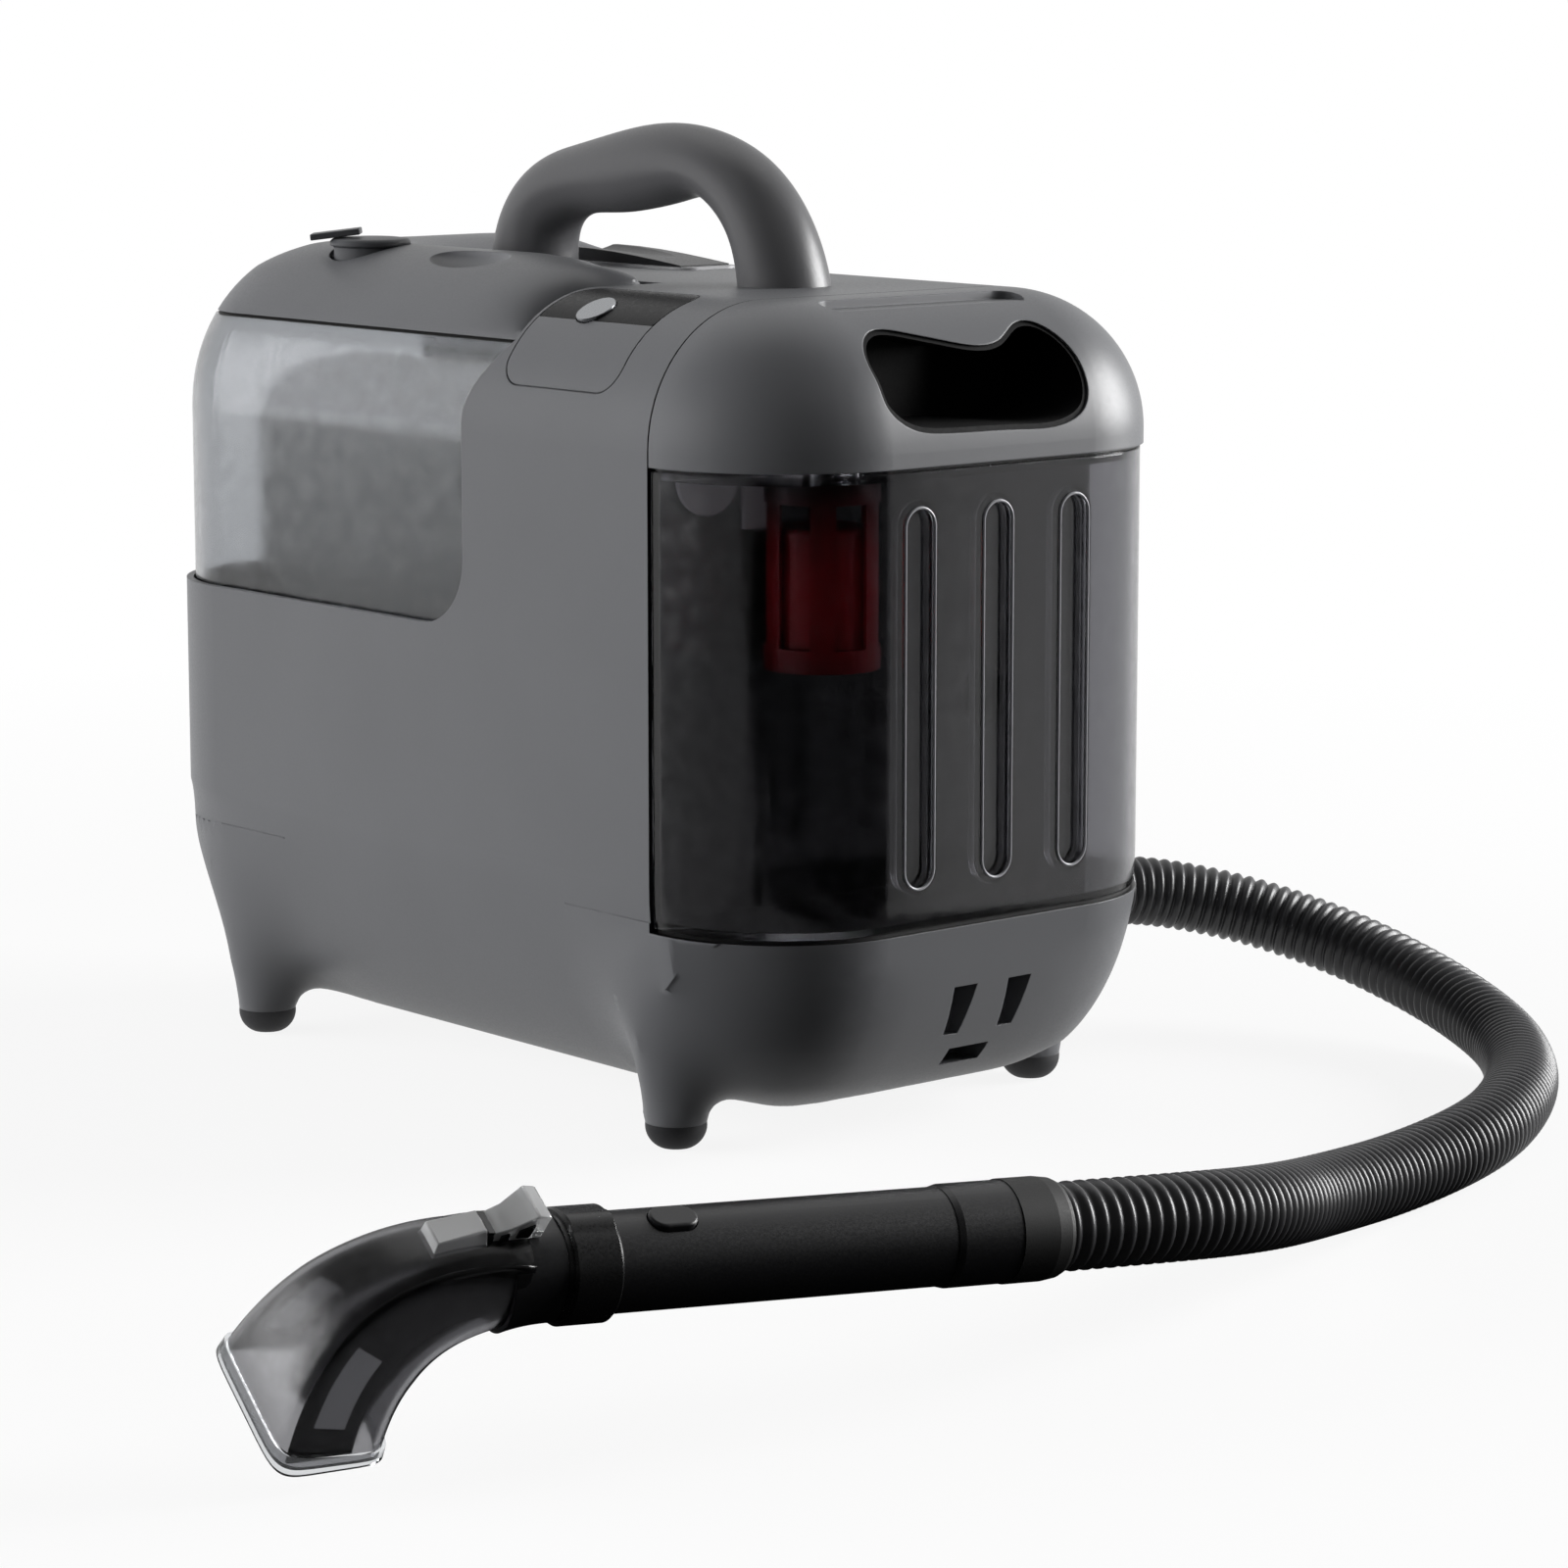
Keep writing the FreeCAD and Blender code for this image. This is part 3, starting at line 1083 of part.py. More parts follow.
def power_inlet():
    """Recessed inlet with three pins in the rear wall."""
    half_x = POWER_WIDTH / 2 - GAP
    half_z = POWER_HEIGHT / 2 - GAP
    outer = block(POWER_X - half_x, POWER_X + half_x, BODY_REAR - POWER_DEPTH, BODY_REAR - 0.6,
                  POWER_Z - half_z, POWER_Z + half_z)
    flange = block(POWER_X - half_x - 3.0, POWER_X + half_x + 3.0, BODY_REAR - WALL - 2.0, BODY_REAR - WALL,
                   POWER_Z - half_z - 3.0, POWER_Z + half_z + 3.0)
    flange = flange.common(body_form(WALL))
    recess = block(POWER_X - half_x + 2.5, POWER_X + half_x - 2.5, BODY_REAR - POWER_DEPTH + 3.0,
                   BODY_REAR + 1.0,
                   POWER_Z - half_z + 2.5, POWER_Z + half_z - 2.5)
    pins = []
    for x, z in ((-6.0, -2.0), (6.0, -2.0), (0.0, 4.0)):
        pins.append(cylinder(1.3, Vec(POWER_X + x, BODY_REAR - POWER_DEPTH + 2.5, POWER_Z + z), 13.0,
                             ALONG_Y))
    return solid_of(outer.fuse(flange).cut(recess).fuse(pins).removeSplitter())


def tank_solid(offset, low, high):
    """Clean tank's block between two heights, taken in by offset all round."""
    outside = BODY_HALF_WIDTH + 20.0
    level = block(-outside, outside, -outside, BODY_REAR + 20.0, low, high)
    return tank_form(offset).common(tank_plan(offset, TANK_BOTTOM - 20.0, CAP_TOP + 20.0)).common(level)


def clean_tank():
    """Smoked tank, L-shaped in plan, open at the top."""
    outer = tank_solid(0.0, TANK_BOTTOM, TANK_SEAM)
    inner = tank_solid(TANK_WALL, TANK_BOTTOM + TANK_WALL, TANK_SEAM + 5.0)
    tank = outer.cut(inner)
    return solid_of(tank.cut(cylinder(VALVE_RADIUS, Vec(VALVE_X, VALVE_Y, TANK_BOTTOM - 1.0),
                                      TANK_WALL + 2.0)))


def cap_slopes(drop=0.0):
    """What is cut off the cap's dome beside the handle and at the front of the lobe."""
    top = CAP_TOP + 0.5 - drop
    low = BODY_TOP + CAP_LIFT - drop
    high = CAP_TOP + 30.0
    x0 = LOBE_INNER_X
    side = [(x0 - 13.0, top), (x0 - 7.0, top - 2.2), (x0, low), (130.0, low), (130.0, high),
            (x0 - 13.0, high)]
    across = polygon([Vec(x, -60.0, z) for x, z in side]).extrude(Vec(0, 260.0, 0))
    y0 = REAR_BLOCK_Y
    along = side_prism([(y0 + 23.0, top), (y0 + 9.0, top - 3.4), (y0, low), (-60.0, low), (-60.0, high),
                        (y0 + 23.0, high)], -130.0, 130.0)
    front = [(0.0, top), (-20.0, top - 1.4), (-33.0, top - 3.6), (-47.0, top - 8.6), (-70.0, top - 18.0),
             (-70.0, high), (0.0, high)]
    return [across.common(along), side_prism(front, -130.0, 0.0)]


def clean_tank_cap():
    """Domed cap of the clean tank, with a finger scoop and the filler opening."""
    outer = tank_solid(0.0, CAP_SEAM, CAP_TOP + 5.0).cut(cap_slopes())
    inner = tank_solid(CAP_WALL, CAP_SEAM - 5.0, CAP_TOP + 5.0).cut(cap_slopes(CAP_WALL + 0.6))
    floor = slab(SCOOP_X - SCOOP_WIDTH / 2 - 3.0, SCOOP_X + SCOOP_WIDTH / 2 + 3.0,
                 SCOOP_Y - SCOOP_LENGTH / 2 - 3.0,
                 SCOOP_Y + SCOOP_LENGTH / 2 + 3.0, 12.0, CAP_TOP - SCOOP_DEPTH - 4.5, CAP_TOP + 5.0)
    cap = outer.cut(inner.cut(floor))
    rows = FreeCAD.Matrix()
    rows.A11, rows.A22, rows.A33 = SCOOP_WIDTH / 2, SCOOP_LENGTH / 2, SCOOP_DEPTH + 2.0
    scoop = Part.makeSphere(1.0).transformGeometry(rows)
    scoop.translate(Vec(SCOOP_X, SCOOP_Y, CAP_TOP + 0.5))
    cap = cap.cut(scoop)
    return solid_of(cap.cut(cylinder(PLUG_RADIUS + SEAM_GAP, Vec(PLUG_X, PLUG_Y, CAP_SEAM - 5.0), 50.0)))


def cap_gasket():
    outer = tank_solid(GASKET_IN, TANK_SEAM, CAP_SEAM)
    inner = tank_solid(GASKET_IN + 1.4, TANK_SEAM - 1.0, CAP_SEAM + 1.0)
    return solid_of(outer.cut(inner))


def filler_neck():
    """Neck under the cap, with the flange that carries the plug's seat."""
    base = Vec(PLUG_X, PLUG_Y, CAP_SEAM)
    under = tank_form(CAP_WALL)
    flange = cylinder(PLUG_RADIUS + 4.0, base, 40.0).common(under).cut(tank_form(CAP_WALL + 2.0))
    tube = cylinder(PLUG_RADIUS - 1.6, base + UP * 2.0, 40.0).common(under)
    neck = flange.fuse(tube).cut(cylinder(PLUG_RADIUS - 3.4, base - UP, 60.0))
    return solid_of(neck.cut(cap_slopes(CAP_WALL + 0.6)))


def filler_plug():
    """Thin round flap with a pull tab at its rear."""
    base = Vec(PLUG_X, PLUG_Y, CAP_SEAM)
    disc = cylinder(PLUG_RADIUS, base, 60.0).common(tank_form(-PLUG_PROUD)).cut(tank_form(CAP_WALL - GAP))
    top = CAP_TOP + PLUG_PROUD + 2.4
    tab = slab(PLUG_X - TAB_WIDTH / 2, PLUG_X + TAB_WIDTH / 2, PLUG_Y + 1.0, PLUG_Y + 1.0 + TAB_LENGTH,
               3.0, top - 1.8, top)
    riser = block(PLUG_X - TAB_WIDTH / 2 + 1.0, PLUG_X + TAB_WIDTH / 2 - 1.0, PLUG_Y + 2.0, PLUG_Y + 8.0,
                  CAP_TOP - 4.0, top - 1.0)
    riser = riser.cut(tank_form(0.5))
    return solid_of(disc.fuse([tab, riser]).removeSplitter())


def dirty_space(offset, low, high):
    """The recovery tank's block between two heights, taken in by offset all round."""
    outside = BODY_HALF_WIDTH + 20.0
    back = SEAM_Y - SEAM_GAP - max(offset - DIRTY_INSET, 0.0)
    space = block(-outside, outside, BODY_FRONT - 20.0, back, low, high)
    return body_form(offset).common(space)


def groove_prisms(grow=0.0):
    shapes = []
    half = GROOVE_WIDTH / 2 + grow
    for index in (-1, 0, 1):
        x = GROOVE_CENTRE_X + index * GROOVE_SPACING
        wire = rounded_wire(x - half, x + half, GROOVE_LOW - grow, GROOVE_HIGH + grow, half - 0.01)
        face = Part.Face(wire)
        face.rotate(Vec(0, 0, 0), ALONG_X, 90.0)
        face.translate(Vec(0, BODY_FRONT - 10.0, 0))
        shapes.append(face.extrude(Vec(0, 10.0 + DIRTY_INSET + GROOVE_DEPTH + grow, 0)))
    return shapes


def dirty_tank():
    """Dark see-through recovery tank with three long grooves."""
    bottom = CHIN_TOP + GASKET_HEIGHT
    outer = dirty_space(DIRTY_INSET, bottom, DIRTY_TOP)
    inner = dirty_space(DIRTY_INSET + DIRTY_WALL, bottom + DIRTY_WALL, DIRTY_TOP + 5.0)
    tank = outer.cut(inner.cut(groove_prisms(DIRTY_WALL))).cut(groove_prisms())
    inlet = cylinder(INLET_BORE, Vec(INLET_X, SEAM_Y - 6.0, INLET_Z), 10.0, ALONG_Y)
    return solid_of(tank.cut(inlet))


def tank_gasket():
    outer = dirty_space(DIRTY_INSET + 0.6, CHIN_TOP, CHIN_TOP + GASKET_HEIGHT)
    inner = dirty_space(DIRTY_INSET + 0.6 + GASKET_WIDTH, CHIN_TOP - 1.0, CHIN_TOP + GASKET_HEIGHT + 1.0)
    return solid_of(outer.cut(inner))


def grip_prism(shrink, start, end):
    """Prism of the grip outline along Y, taken in by shrink."""
    count = len(GRIP_OUTLINE)
    points = []
    for index, (x, height) in enumerate(GRIP_OUTLINE):
        before = GRIP_OUTLINE[index - 1]
        after = GRIP_OUTLINE[(index + 1) % count]
        along = Vec(after[0] - before[0], 0, after[1] - before[1]).normalize()
        points.append(Vec(x + along.z * shrink, start, LID_BOTTOM + height - along.x * shrink))
    curve = Part.BSplineCurve()
    curve.interpolate(Points=points, PeriodicFlag=True)
    return Part.Face(Part.Wire([curve.toShape()])).extrude(Vec(0, end - start, 0))


def dirty_tank_lid():
    """Grey lid of the recovery tank with its grip opening and thumb groove."""
    outer = dirty_space(0.0, LID_BOTTOM, BODY_TOP + 5.0)
    back = SEAM_Y - SEAM_GAP - LID_WALL
    inside = block(-130.0, 130.0, BODY_FRONT - 20.0, back, LID_BOTTOM - 5.0, BODY_TOP + 5.0)
    inner = body_form(LID_WALL).common(inside)
    half = THUMB_WIDTH / 2
    floor_low = BODY_TOP - THUMB_DEPTH - 2.2
    pad = slab(-THUMB_HALF_LENGTH - 3.0, THUMB_HALF_LENGTH + 3.0, THUMB_Y - half - 3.0,
               THUMB_Y + half + 3.0, half + 2.0, floor_low, BODY_TOP + 5.0)
    lid = outer.cut(inner.cut(pad))
    thumb = slab(-THUMB_HALF_LENGTH, THUMB_HALF_LENGTH, THUMB_Y - half, THUMB_Y + half, half - 0.01,
                 BODY_TOP - THUMB_DEPTH, BODY_TOP + 5.0)
    lid = lid.cut(thumb).cut(grip_prism(0.0, BODY_FRONT - 10.0, SEAM_Y - 20.0))
    outlet = cylinder(DUCT_RADIUS - DUCT_WALL, Vec(MOTOR_X, SEAM_Y - 8.0, VACUUM_Z), 12.0, ALONG_Y)
    return solid_of(lid.cut(outlet))


def grip_liner():
    """Dark pocket behind the grip opening."""
    back = BODY_FRONT + GRIP_DEPTH
    outer = grip_prism(0.0, BODY_FRONT - 10.0, back).common(body_form(0.8))
    return solid_of(outer.cut(grip_prism(GRIP_WALL, BODY_FRONT - 10.0, back - GRIP_WALL)))


def lid_plate():
    """Closing plate under the lid, stepped into the tank's mouth, with the float's valve hole."""
    rim = dirty_space(DIRTY_INSET + 0.8, DIRTY_TOP, LID_BOTTOM)
    inside = dirty_space(DIRTY_INSET + DIRTY_WALL + 0.6, DIRTY_TOP - LID_PLATE_THICKNESS, DIRTY_TOP + 0.5)
    plate = rim.fuse(inside).removeSplitter()
    return solid_of(plate.cut(cylinder(FLOAT_SEAT, Vec(FLOAT_X, FLOAT_Y, DIRTY_TOP - 10.0), 20.0)))


def baffle_tabs():
    """Half-round and square tabs that hang behind the plate."""
    top = DIRTY_TOP - LID_PLATE_THICKNESS
    y = SEAM_Y - SEAM_GAP - DIRTY_WALL - 4.0
    disc = cylinder(BAFFLE_RADIUS, Vec(BAFFLE_X, y, top), BAFFLE_THICKNESS, ALONG_Y)
    half = disc.common(block(BAFFLE_X - 20.0, BAFFLE_X + 20.0, y - 1.0, y + 4.0, top - 30.0, top))
    x0 = BAFFLE_PLATE_X - BAFFLE_PLATE_WIDTH / 2
    plate = block(x0, x0 + BAFFLE_PLATE_WIDTH, y, y + BAFFLE_THICKNESS, top - BAFFLE_HEIGHT, top)
    return Part.makeCompound([half, plate])


def float_cage():
    """Slotted cage that hangs under the plate and holds the float."""
    top = DIRTY_TOP - LID_PLATE_THICKNESS
    base = Vec(FLOAT_X, FLOAT_Y, top - CAGE_HEIGHT)
    cage = cylinder(CAGE_RADIUS, base, CAGE_HEIGHT)
    cage = cage.cut(cylinder(CAGE_RADIUS - CAGE_WALL, base + UP * CAGE_WALL, CAGE_HEIGHT))
    windows = []
    for index in range(CAGE_WINDOWS // 2):
        window = block(-CAGE_RADIUS - 2.0, CAGE_RADIUS + 2.0, -CAGE_WINDOW_WIDTH / 2,
                       CAGE_WINDOW_WIDTH / 2, 8.0, CAGE_HEIGHT - 8.0)
        window.rotate(Vec(0, 0, 0), UP, 180.0 * index / (CAGE_WINDOWS // 2) + 20.0)
        window.translate(base)
        windows.append(window)
    holes = []
    for angle in (0.5, 2.6, 4.7):
        holes.append(cylinder(3.0, base + Vec(8.0 * math.cos(angle), 8.0 * math.sin(angle), -1.0), 5.0))
    return solid_of(cage.cut(windows + holes))


def shutoff_float():
    """Closed float that rises with the water."""
    top = DIRTY_TOP - LID_PLATE_THICKNESS
    base = Vec(FLOAT_X, FLOAT_Y, top - CAGE_HEIGHT + CAGE_WALL)
    body = cylinder(FLOAT_RADIUS, base, FLOAT_HEIGHT)
    ends = []
    for edge in body.Edges:
        height = edge.CenterOfMass.z - base.z
        if edge.isClosed() and min(abs(height), abs(height - FLOAT_HEIGHT)) < 0.01:
            ends.append(edge)
    return solid_of(body.makeFillet(2.5, ends))


def wand_frame():
    """Placement of the wand: X along it towards the nozzle, Z its rolled top."""
    along = Vec(*WAND_DIRECTION).normalize()
    upright = (UP - along * along.dot(UP)).normalize()
    side = along.cross(upright)
    roll = math.radians(WAND_ROLL)
    top = (upright * math.cos(roll) - side * math.sin(roll)).normalize()
    lateral = top.cross(along)
    rows = FreeCAD.Matrix(along.x, lateral.x, top.x, WAND_END[0], along.y, lateral.y, top.y, WAND_END[1],
                          along.z, lateral.z, top.z, WAND_END[2], 0, 0, 0, 1)
    return FreeCAD.Placement(rows)


def on_wand(shape):
    """The shape carried from the wand's own frame to its place on the floor."""
    return shape.transformed(wand_frame().toMatrix(), copy=True)


def hose_route():
    """Corner points of the hose's centre line, from the port to the wand."""
    along = Vec(*WAND_DIRECTION).normalize()
    end = Vec(*WAND_END)
    last = end - along * HOSE_LAST_RUN
    first = (PORT_OUTER + HOSE_FIRST_RUN, PORT_Y, PORT_Z)
    return [(PORT_OUTER, PORT_Y, PORT_Z), first] + HOSE_POINTS + [tuple(last), tuple(end)]


def hose():
    """Ribbed hose with its bore, one rib each pitch along the route."""
    wire, radii = routed_wire(hose_route())
    length = wire.Length
    count = int(round(length / RIB_PITCH))
    pitch = length / count
    stations = []
    for index in range(count):
        start = index * pitch
        stations.append((start, HOSE_ROOT))
        stations.append((start + pitch * 0.22, HOSE_RADIUS))
        stations.append((start + pitch * 0.62, HOSE_RADIUS))
        stations.append((start + pitch * 0.84, HOSE_ROOT))
    stations.append((length, HOSE_ROOT))
    points = wire_points(wire, [place for place, radius in stations])
    sections = []
    for (place, radius), (point, direction) in zip(stations, points):
        across = direction.cross(UP).normalize()
        other = direction.cross(across)
        rows = FreeCAD.Matrix(across.x, other.x, direction.x, point.x, across.y, other.y, direction.y,
                              point.y, across.z, other.z, direction.z, point.z, 0, 0, 0, 1)
        circle = Part.makeCircle(radius)
        circle.Placement = FreeCAD.Placement(rows)
        sections.append(Part.Wire([circle]))
    ribs = Part.makeLoft(sections, True, True)
    start = Vec(*hose_route()[0])
    hole = Part.Wire([Part.makeCircle(HOSE_BORE, start, ALONG_X)])
    bore = wire.makePipeShell([hole], True, False)
    print("hose length %.1f, ribs %d, bend radii %s" % (length, count, [round(value) for value in radii]))
    return solid_of(ribs.cut(bore))


def wire_points(wire, places):
    """Point and unit direction at each distance along the wire."""
    result = []
    edges = wire.OrderedEdges
    index = 0
    passed = 0.0
    for place in places:
        while index < len(edges) - 1 and place > passed + edges[index].Length:
            passed += edges[index].Length
            index += 1
        edge = edges[index]
        share = min(max((place - passed) / edge.Length, 0.0), 1.0)
        value = edge.FirstParameter + (edge.LastParameter - edge.FirstParameter) * share
        if edge.Orientation == "Reversed":
            value = edge.LastParameter - (edge.LastParameter - edge.FirstParameter) * share
        direction = edge.tangentAt(value)
        result.append((edge.valueAt(value), direction.normalize()))
    return result


def port_cuff():
    """Sleeve over the hose's end at the machine."""
    return ring(PORT_RADIUS - 1.5, HOSE_RADIUS + 0.1, Vec(PORT_OUTER, PORT_Y, PORT_Z), PORT_CUFF_LENGTH,
                ALONG_X)


def turned(points):
    """Solid of revolution about X on a profile of (x, radius)."""
    face = polygon([Vec(x, 0, radius) for x, radius in points])
    return face.revolve(Vec(0, 0, 0), ALONG_X, 360)


def hose_cuff():
    """Soft cuff at the hose's end, swelling towards the sleeve."""
    outline = [(0.0, HOSE_BORE), (0.0, CUFF_MOUTH_RADIUS), (1.5, CUFF_MOUTH_RADIUS + 0.7),
               (6.0, CUFF_RADIUS),
               (CUFF_LENGTH, CUFF_RADIUS), (CUFF_LENGTH, HOSE_BORE)]
    return on_wand(turned(outline))


def wand_sleeve():
    outline = [(CUFF_LENGTH, HOSE_BORE), (CUFF_LENGTH, SLEEVE_RADIUS), (SLEEVE_END - 2.0, SLEEVE_RADIUS),
               (SLEEVE_END, SLEEVE_RADIUS - 0.5), (SLEEVE_END, HOSE_BORE)]
    return on_wand(turned(outline))


def trigger_outline(grow, z0, z1):
    half_x = TRIGGER_LENGTH / 2 + grow
    half_y = TRIGGER_WIDTH / 2 + grow
    return slab(TRIGGER_PLACE - half_x, TRIGGER_PLACE + half_x, -half_y, half_y, half_y - 0.05, z0, z1)


def wand_tube():
    """Rigid tube of the wand with the trigger's pocket on top."""
    bore = TUBE_RADIUS - TUBE_WALL
    tube = ring(TUBE_RADIUS, bore, Vec(SLEEVE_END, 0, 0), TUBE_LENGTH, ALONG_X)
    inside = cylinder(TUBE_RADIUS - 0.5, Vec(SLEEVE_END, 0, 0), TUBE_LENGTH, ALONG_X)
    cup = trigger_outline(1.8, TRIGGER_FLOOR - 1.6, TUBE_RADIUS).common(inside)
    tube = tube.fuse(cup).removeSplitter().cut(trigger_outline(GAP, TRIGGER_FLOOR, TUBE_RADIUS + 5.0))
    return on_wand(solid_of(tube))


def spray_trigger():
    key = trigger_outline(0.0, TRIGGER_FLOOR + 3.4, TUBE_RADIUS + 1.4)
    top = [edge for edge in key.Edges if abs(edge.CenterOfMass.z - TUBE_RADIUS - 1.4) < 0.01]
    return on_wand(solid_of(key.makeFillet(1.0, top)))


def trigger_spring():
    coil = spring_on(Vec(TRIGGER_PLACE, 0, TRIGGER_FLOOR), UP, 3.0, 0.4, 3.4, 3)
    return on_wand(coil)


def nozzle_collar():
    """Turning ring in front of the tube, with finger flats."""
    start = SLEEVE_END + TUBE_LENGTH
    collar = ring(COLLAR_RADIUS, TUBE_RADIUS - TUBE_WALL, Vec(start, 0, 0), COLLAR_LENGTH, ALONG_X)
    cuts = []
    for index in range(COLLAR_FLATS):
        angle = 2 * math.pi * index / COLLAR_FLATS
        centre = Vec(start + 3.0, (COLLAR_RADIUS + 5.3) * math.cos(angle),
                     (COLLAR_RADIUS + 5.3) * math.sin(angle))
        cuts.append(cylinder(6.0, centre, COLLAR_LENGTH - 6.0, ALONG_X))
    return on_wand(solid_of(collar.cut(cuts)))


def nozzle_section(index, half_width, half_height, shift=0.0, last=5.0):
    """Rounded section of the nozzle at one station along its bend."""
    angle = math.radians(NOZZLE_TURN * index / last)
    centre = Vec(NOZZLE_START + NOZZLE_REACH * math.sin(angle), 0, -NOZZLE_DROP * (1 - math.cos(angle)))
    travel = Vec(NOZZLE_REACH * math.cos(angle), 0, -NOZZLE_DROP * math.sin(angle)).normalize()
    across = Vec(-travel.z, 0, travel.x)
    centre = centre - across * shift
    radius = 0.92 * min(half_width, half_height)
    wire = rounded_wire(-half_width, half_width, -half_height, half_height, radius)
    rows = FreeCAD.Matrix(0, across.x, travel.x, centre.x, 1, 0, 0, 0, 0, across.z, travel.z, centre.z,
                          0, 0, 0, 1)
    wire.Placement = FreeCAD.Placement(rows)
    return wire


def nozzle_loft(sections, wall=0.0, shifts=None):
    wires = []
    for index, (half_width, half_height) in enumerate(sections):
        shift = shifts[index] if shifts else 0.0
        wires.append(nozzle_section(index, half_width - wall, half_height - wall, shift))
    return Part.makeLoft(wires, True, False)


def nozzle_neck():
    """Black root of the nozzle with the bulkhead that holds the suction duct."""
    shell = nozzle_loft(NOZZLE_SECTIONS).cut(nozzle_loft(NOZZLE_SECTIONS, NOZZLE_WALL))
    shell = shell.common(neck_space())
    disc = cylinder(NOZZLE_SECTIONS[0][0] - 1.0, Vec(NOZZLE_START, 0, 0), 2.0, ALONG_X)
    bore = cylinder(6.2, Vec(NOZZLE_START - 1.0, 0, 0), 6.0, ALONG_X)
    return on_wand(solid_of(shell.fuse(disc).removeSplitter().cut(bore)))


def neck_space():
    return block(NOZZLE_START - 5.0, NOZZLE_START + NECK_LENGTH, -60.0, 60.0, -60.0, 60.0)


def nozzle_cover():
    """Clear flared mouth of the nozzle."""
    shell = nozzle_loft(NOZZLE_SECTIONS).cut(nozzle_loft(NOZZLE_SECTIONS, NOZZLE_WALL))
    return on_wand(solid_of(shell.cut(neck_space())))


def suction_duct():
    """Dark inner duct from the neck to the mouth."""
    outer = nozzle_loft(DUCT_SECTIONS, 0.0, DUCT_SHIFTS)
    inner = nozzle_loft(DUCT_SECTIONS, 1.2, DUCT_SHIFTS)
    root = block(NOZZLE_START - 5.0, NOZZLE_START + 2.0, -60.0, 60.0, -60.0, 60.0)
    return on_wand(solid_of(outer.cut(inner).cut(root)))


def spray_tip():
    """Clear spray head on top of the nozzle's root."""
    x0 = NOZZLE_START + 1.5
    height = NOZZLE_SECTIONS[0][0] + TIP_HEIGHT
    outline = [(x0, 5.0), (x0, height - 1.0), (x0 + 1.0, height), (x0 + 12.0, height),
               (x0 + TIP_LENGTH, height - 8.0), (x0 + TIP_LENGTH, 5.0)]
    face = polygon([Vec(x, -TIP_WIDTH / 2, z) for x, z in outline])
    return on_wand(solid_of(face.extrude(Vec(0, TIP_WIDTH, 0)).cut(nozzle_loft(NOZZLE_SECTIONS))))


MAKERS = [
    main_housing, base_plate, foot_pads, base_screws, carry_handle, control_panel, control_strip,
    power_switch, power_button, button_spring, wand_cradle, cradle_pad, hose_port, exhaust_grille,
    exhaust_duct, motor_mount, suction_motor, fan_housing, impeller, motor_shaft, vacuum_duct,
    inlet_duct, duct_seals, pump, pump_mount, supply_tube, delivery_tube, valve_seat,
    circuit_board, board_posts, power_inlet, clean_tank, clean_tank_cap, cap_gasket, filler_neck,
    filler_plug, valve_body, valve_poppet, valve_spring, dirty_tank, tank_gasket, dirty_tank_lid,
    grip_liner, lid_plate, baffle_tabs, float_cage, shutoff_float, hose, port_cuff, hose_cuff,
    wand_sleeve, wand_tube, spray_trigger, trigger_spring, nozzle_collar, nozzle_neck,
    suction_duct, nozzle_cover, spray_tip,
]


def main():
    os.makedirs("parts", exist_ok=True)
    for maker in MAKERS:
        shape = maker()
        if not shape.isValid():
            raise ValueError(maker.__name__ + " is not a valid shape")
        shape.exportStep(os.path.join("parts", maker.__name__ + ".step"))
        box = shape.BoundBox
        size = (box.XMin, box.XMax, box.YMin, box.YMax, box.ZMin, box.ZMax)
        print("%-16s %d %8.2f cm3" % (maker.__name__, len(shape.Solids), shape.Volume / 1000),
              " ".join("%.1f" % value for value in size))


if __name__ == "__main__":
    main()
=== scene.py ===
"""Looks of a portable spot extractor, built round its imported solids.

Everything is in metres, in the frame of the solids: front towards -Y, the side with the hose port towards +X,
and the floor at z = 0.
"""

import math

import bmesh
import bpy
import numpy as np
from bpy.props import FloatProperty, FloatVectorProperty, IntProperty, PointerProperty
from mathutils import Euler, Matrix, Vector
from mathutils.bvhtree import BVHTree
from mathutils.interpolate import poly_3d_calc


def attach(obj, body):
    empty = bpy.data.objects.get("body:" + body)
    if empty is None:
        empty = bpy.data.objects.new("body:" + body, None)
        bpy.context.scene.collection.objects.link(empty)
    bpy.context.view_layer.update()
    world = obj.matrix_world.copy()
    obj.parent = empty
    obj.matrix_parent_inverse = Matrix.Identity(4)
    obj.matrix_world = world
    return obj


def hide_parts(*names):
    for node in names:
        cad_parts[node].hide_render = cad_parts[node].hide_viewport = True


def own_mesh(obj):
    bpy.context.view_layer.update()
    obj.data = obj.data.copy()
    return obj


bl_info = {
    "name": "Spot extractor",
    "version": (1, 0, 0),
    "blender": (4, 5, 0),
    "location": "View3D > Sidebar > Extractor",
    "description": "Builds a portable spot extractor with its hose, wand, tanks and finishes",
    "category": "Add Mesh",
}

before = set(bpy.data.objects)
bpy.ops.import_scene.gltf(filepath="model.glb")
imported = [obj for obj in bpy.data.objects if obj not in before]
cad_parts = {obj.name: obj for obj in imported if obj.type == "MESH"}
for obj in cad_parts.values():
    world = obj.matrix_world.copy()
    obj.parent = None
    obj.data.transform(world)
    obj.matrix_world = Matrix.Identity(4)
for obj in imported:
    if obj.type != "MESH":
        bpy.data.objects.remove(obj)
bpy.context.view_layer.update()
MM = 0.001

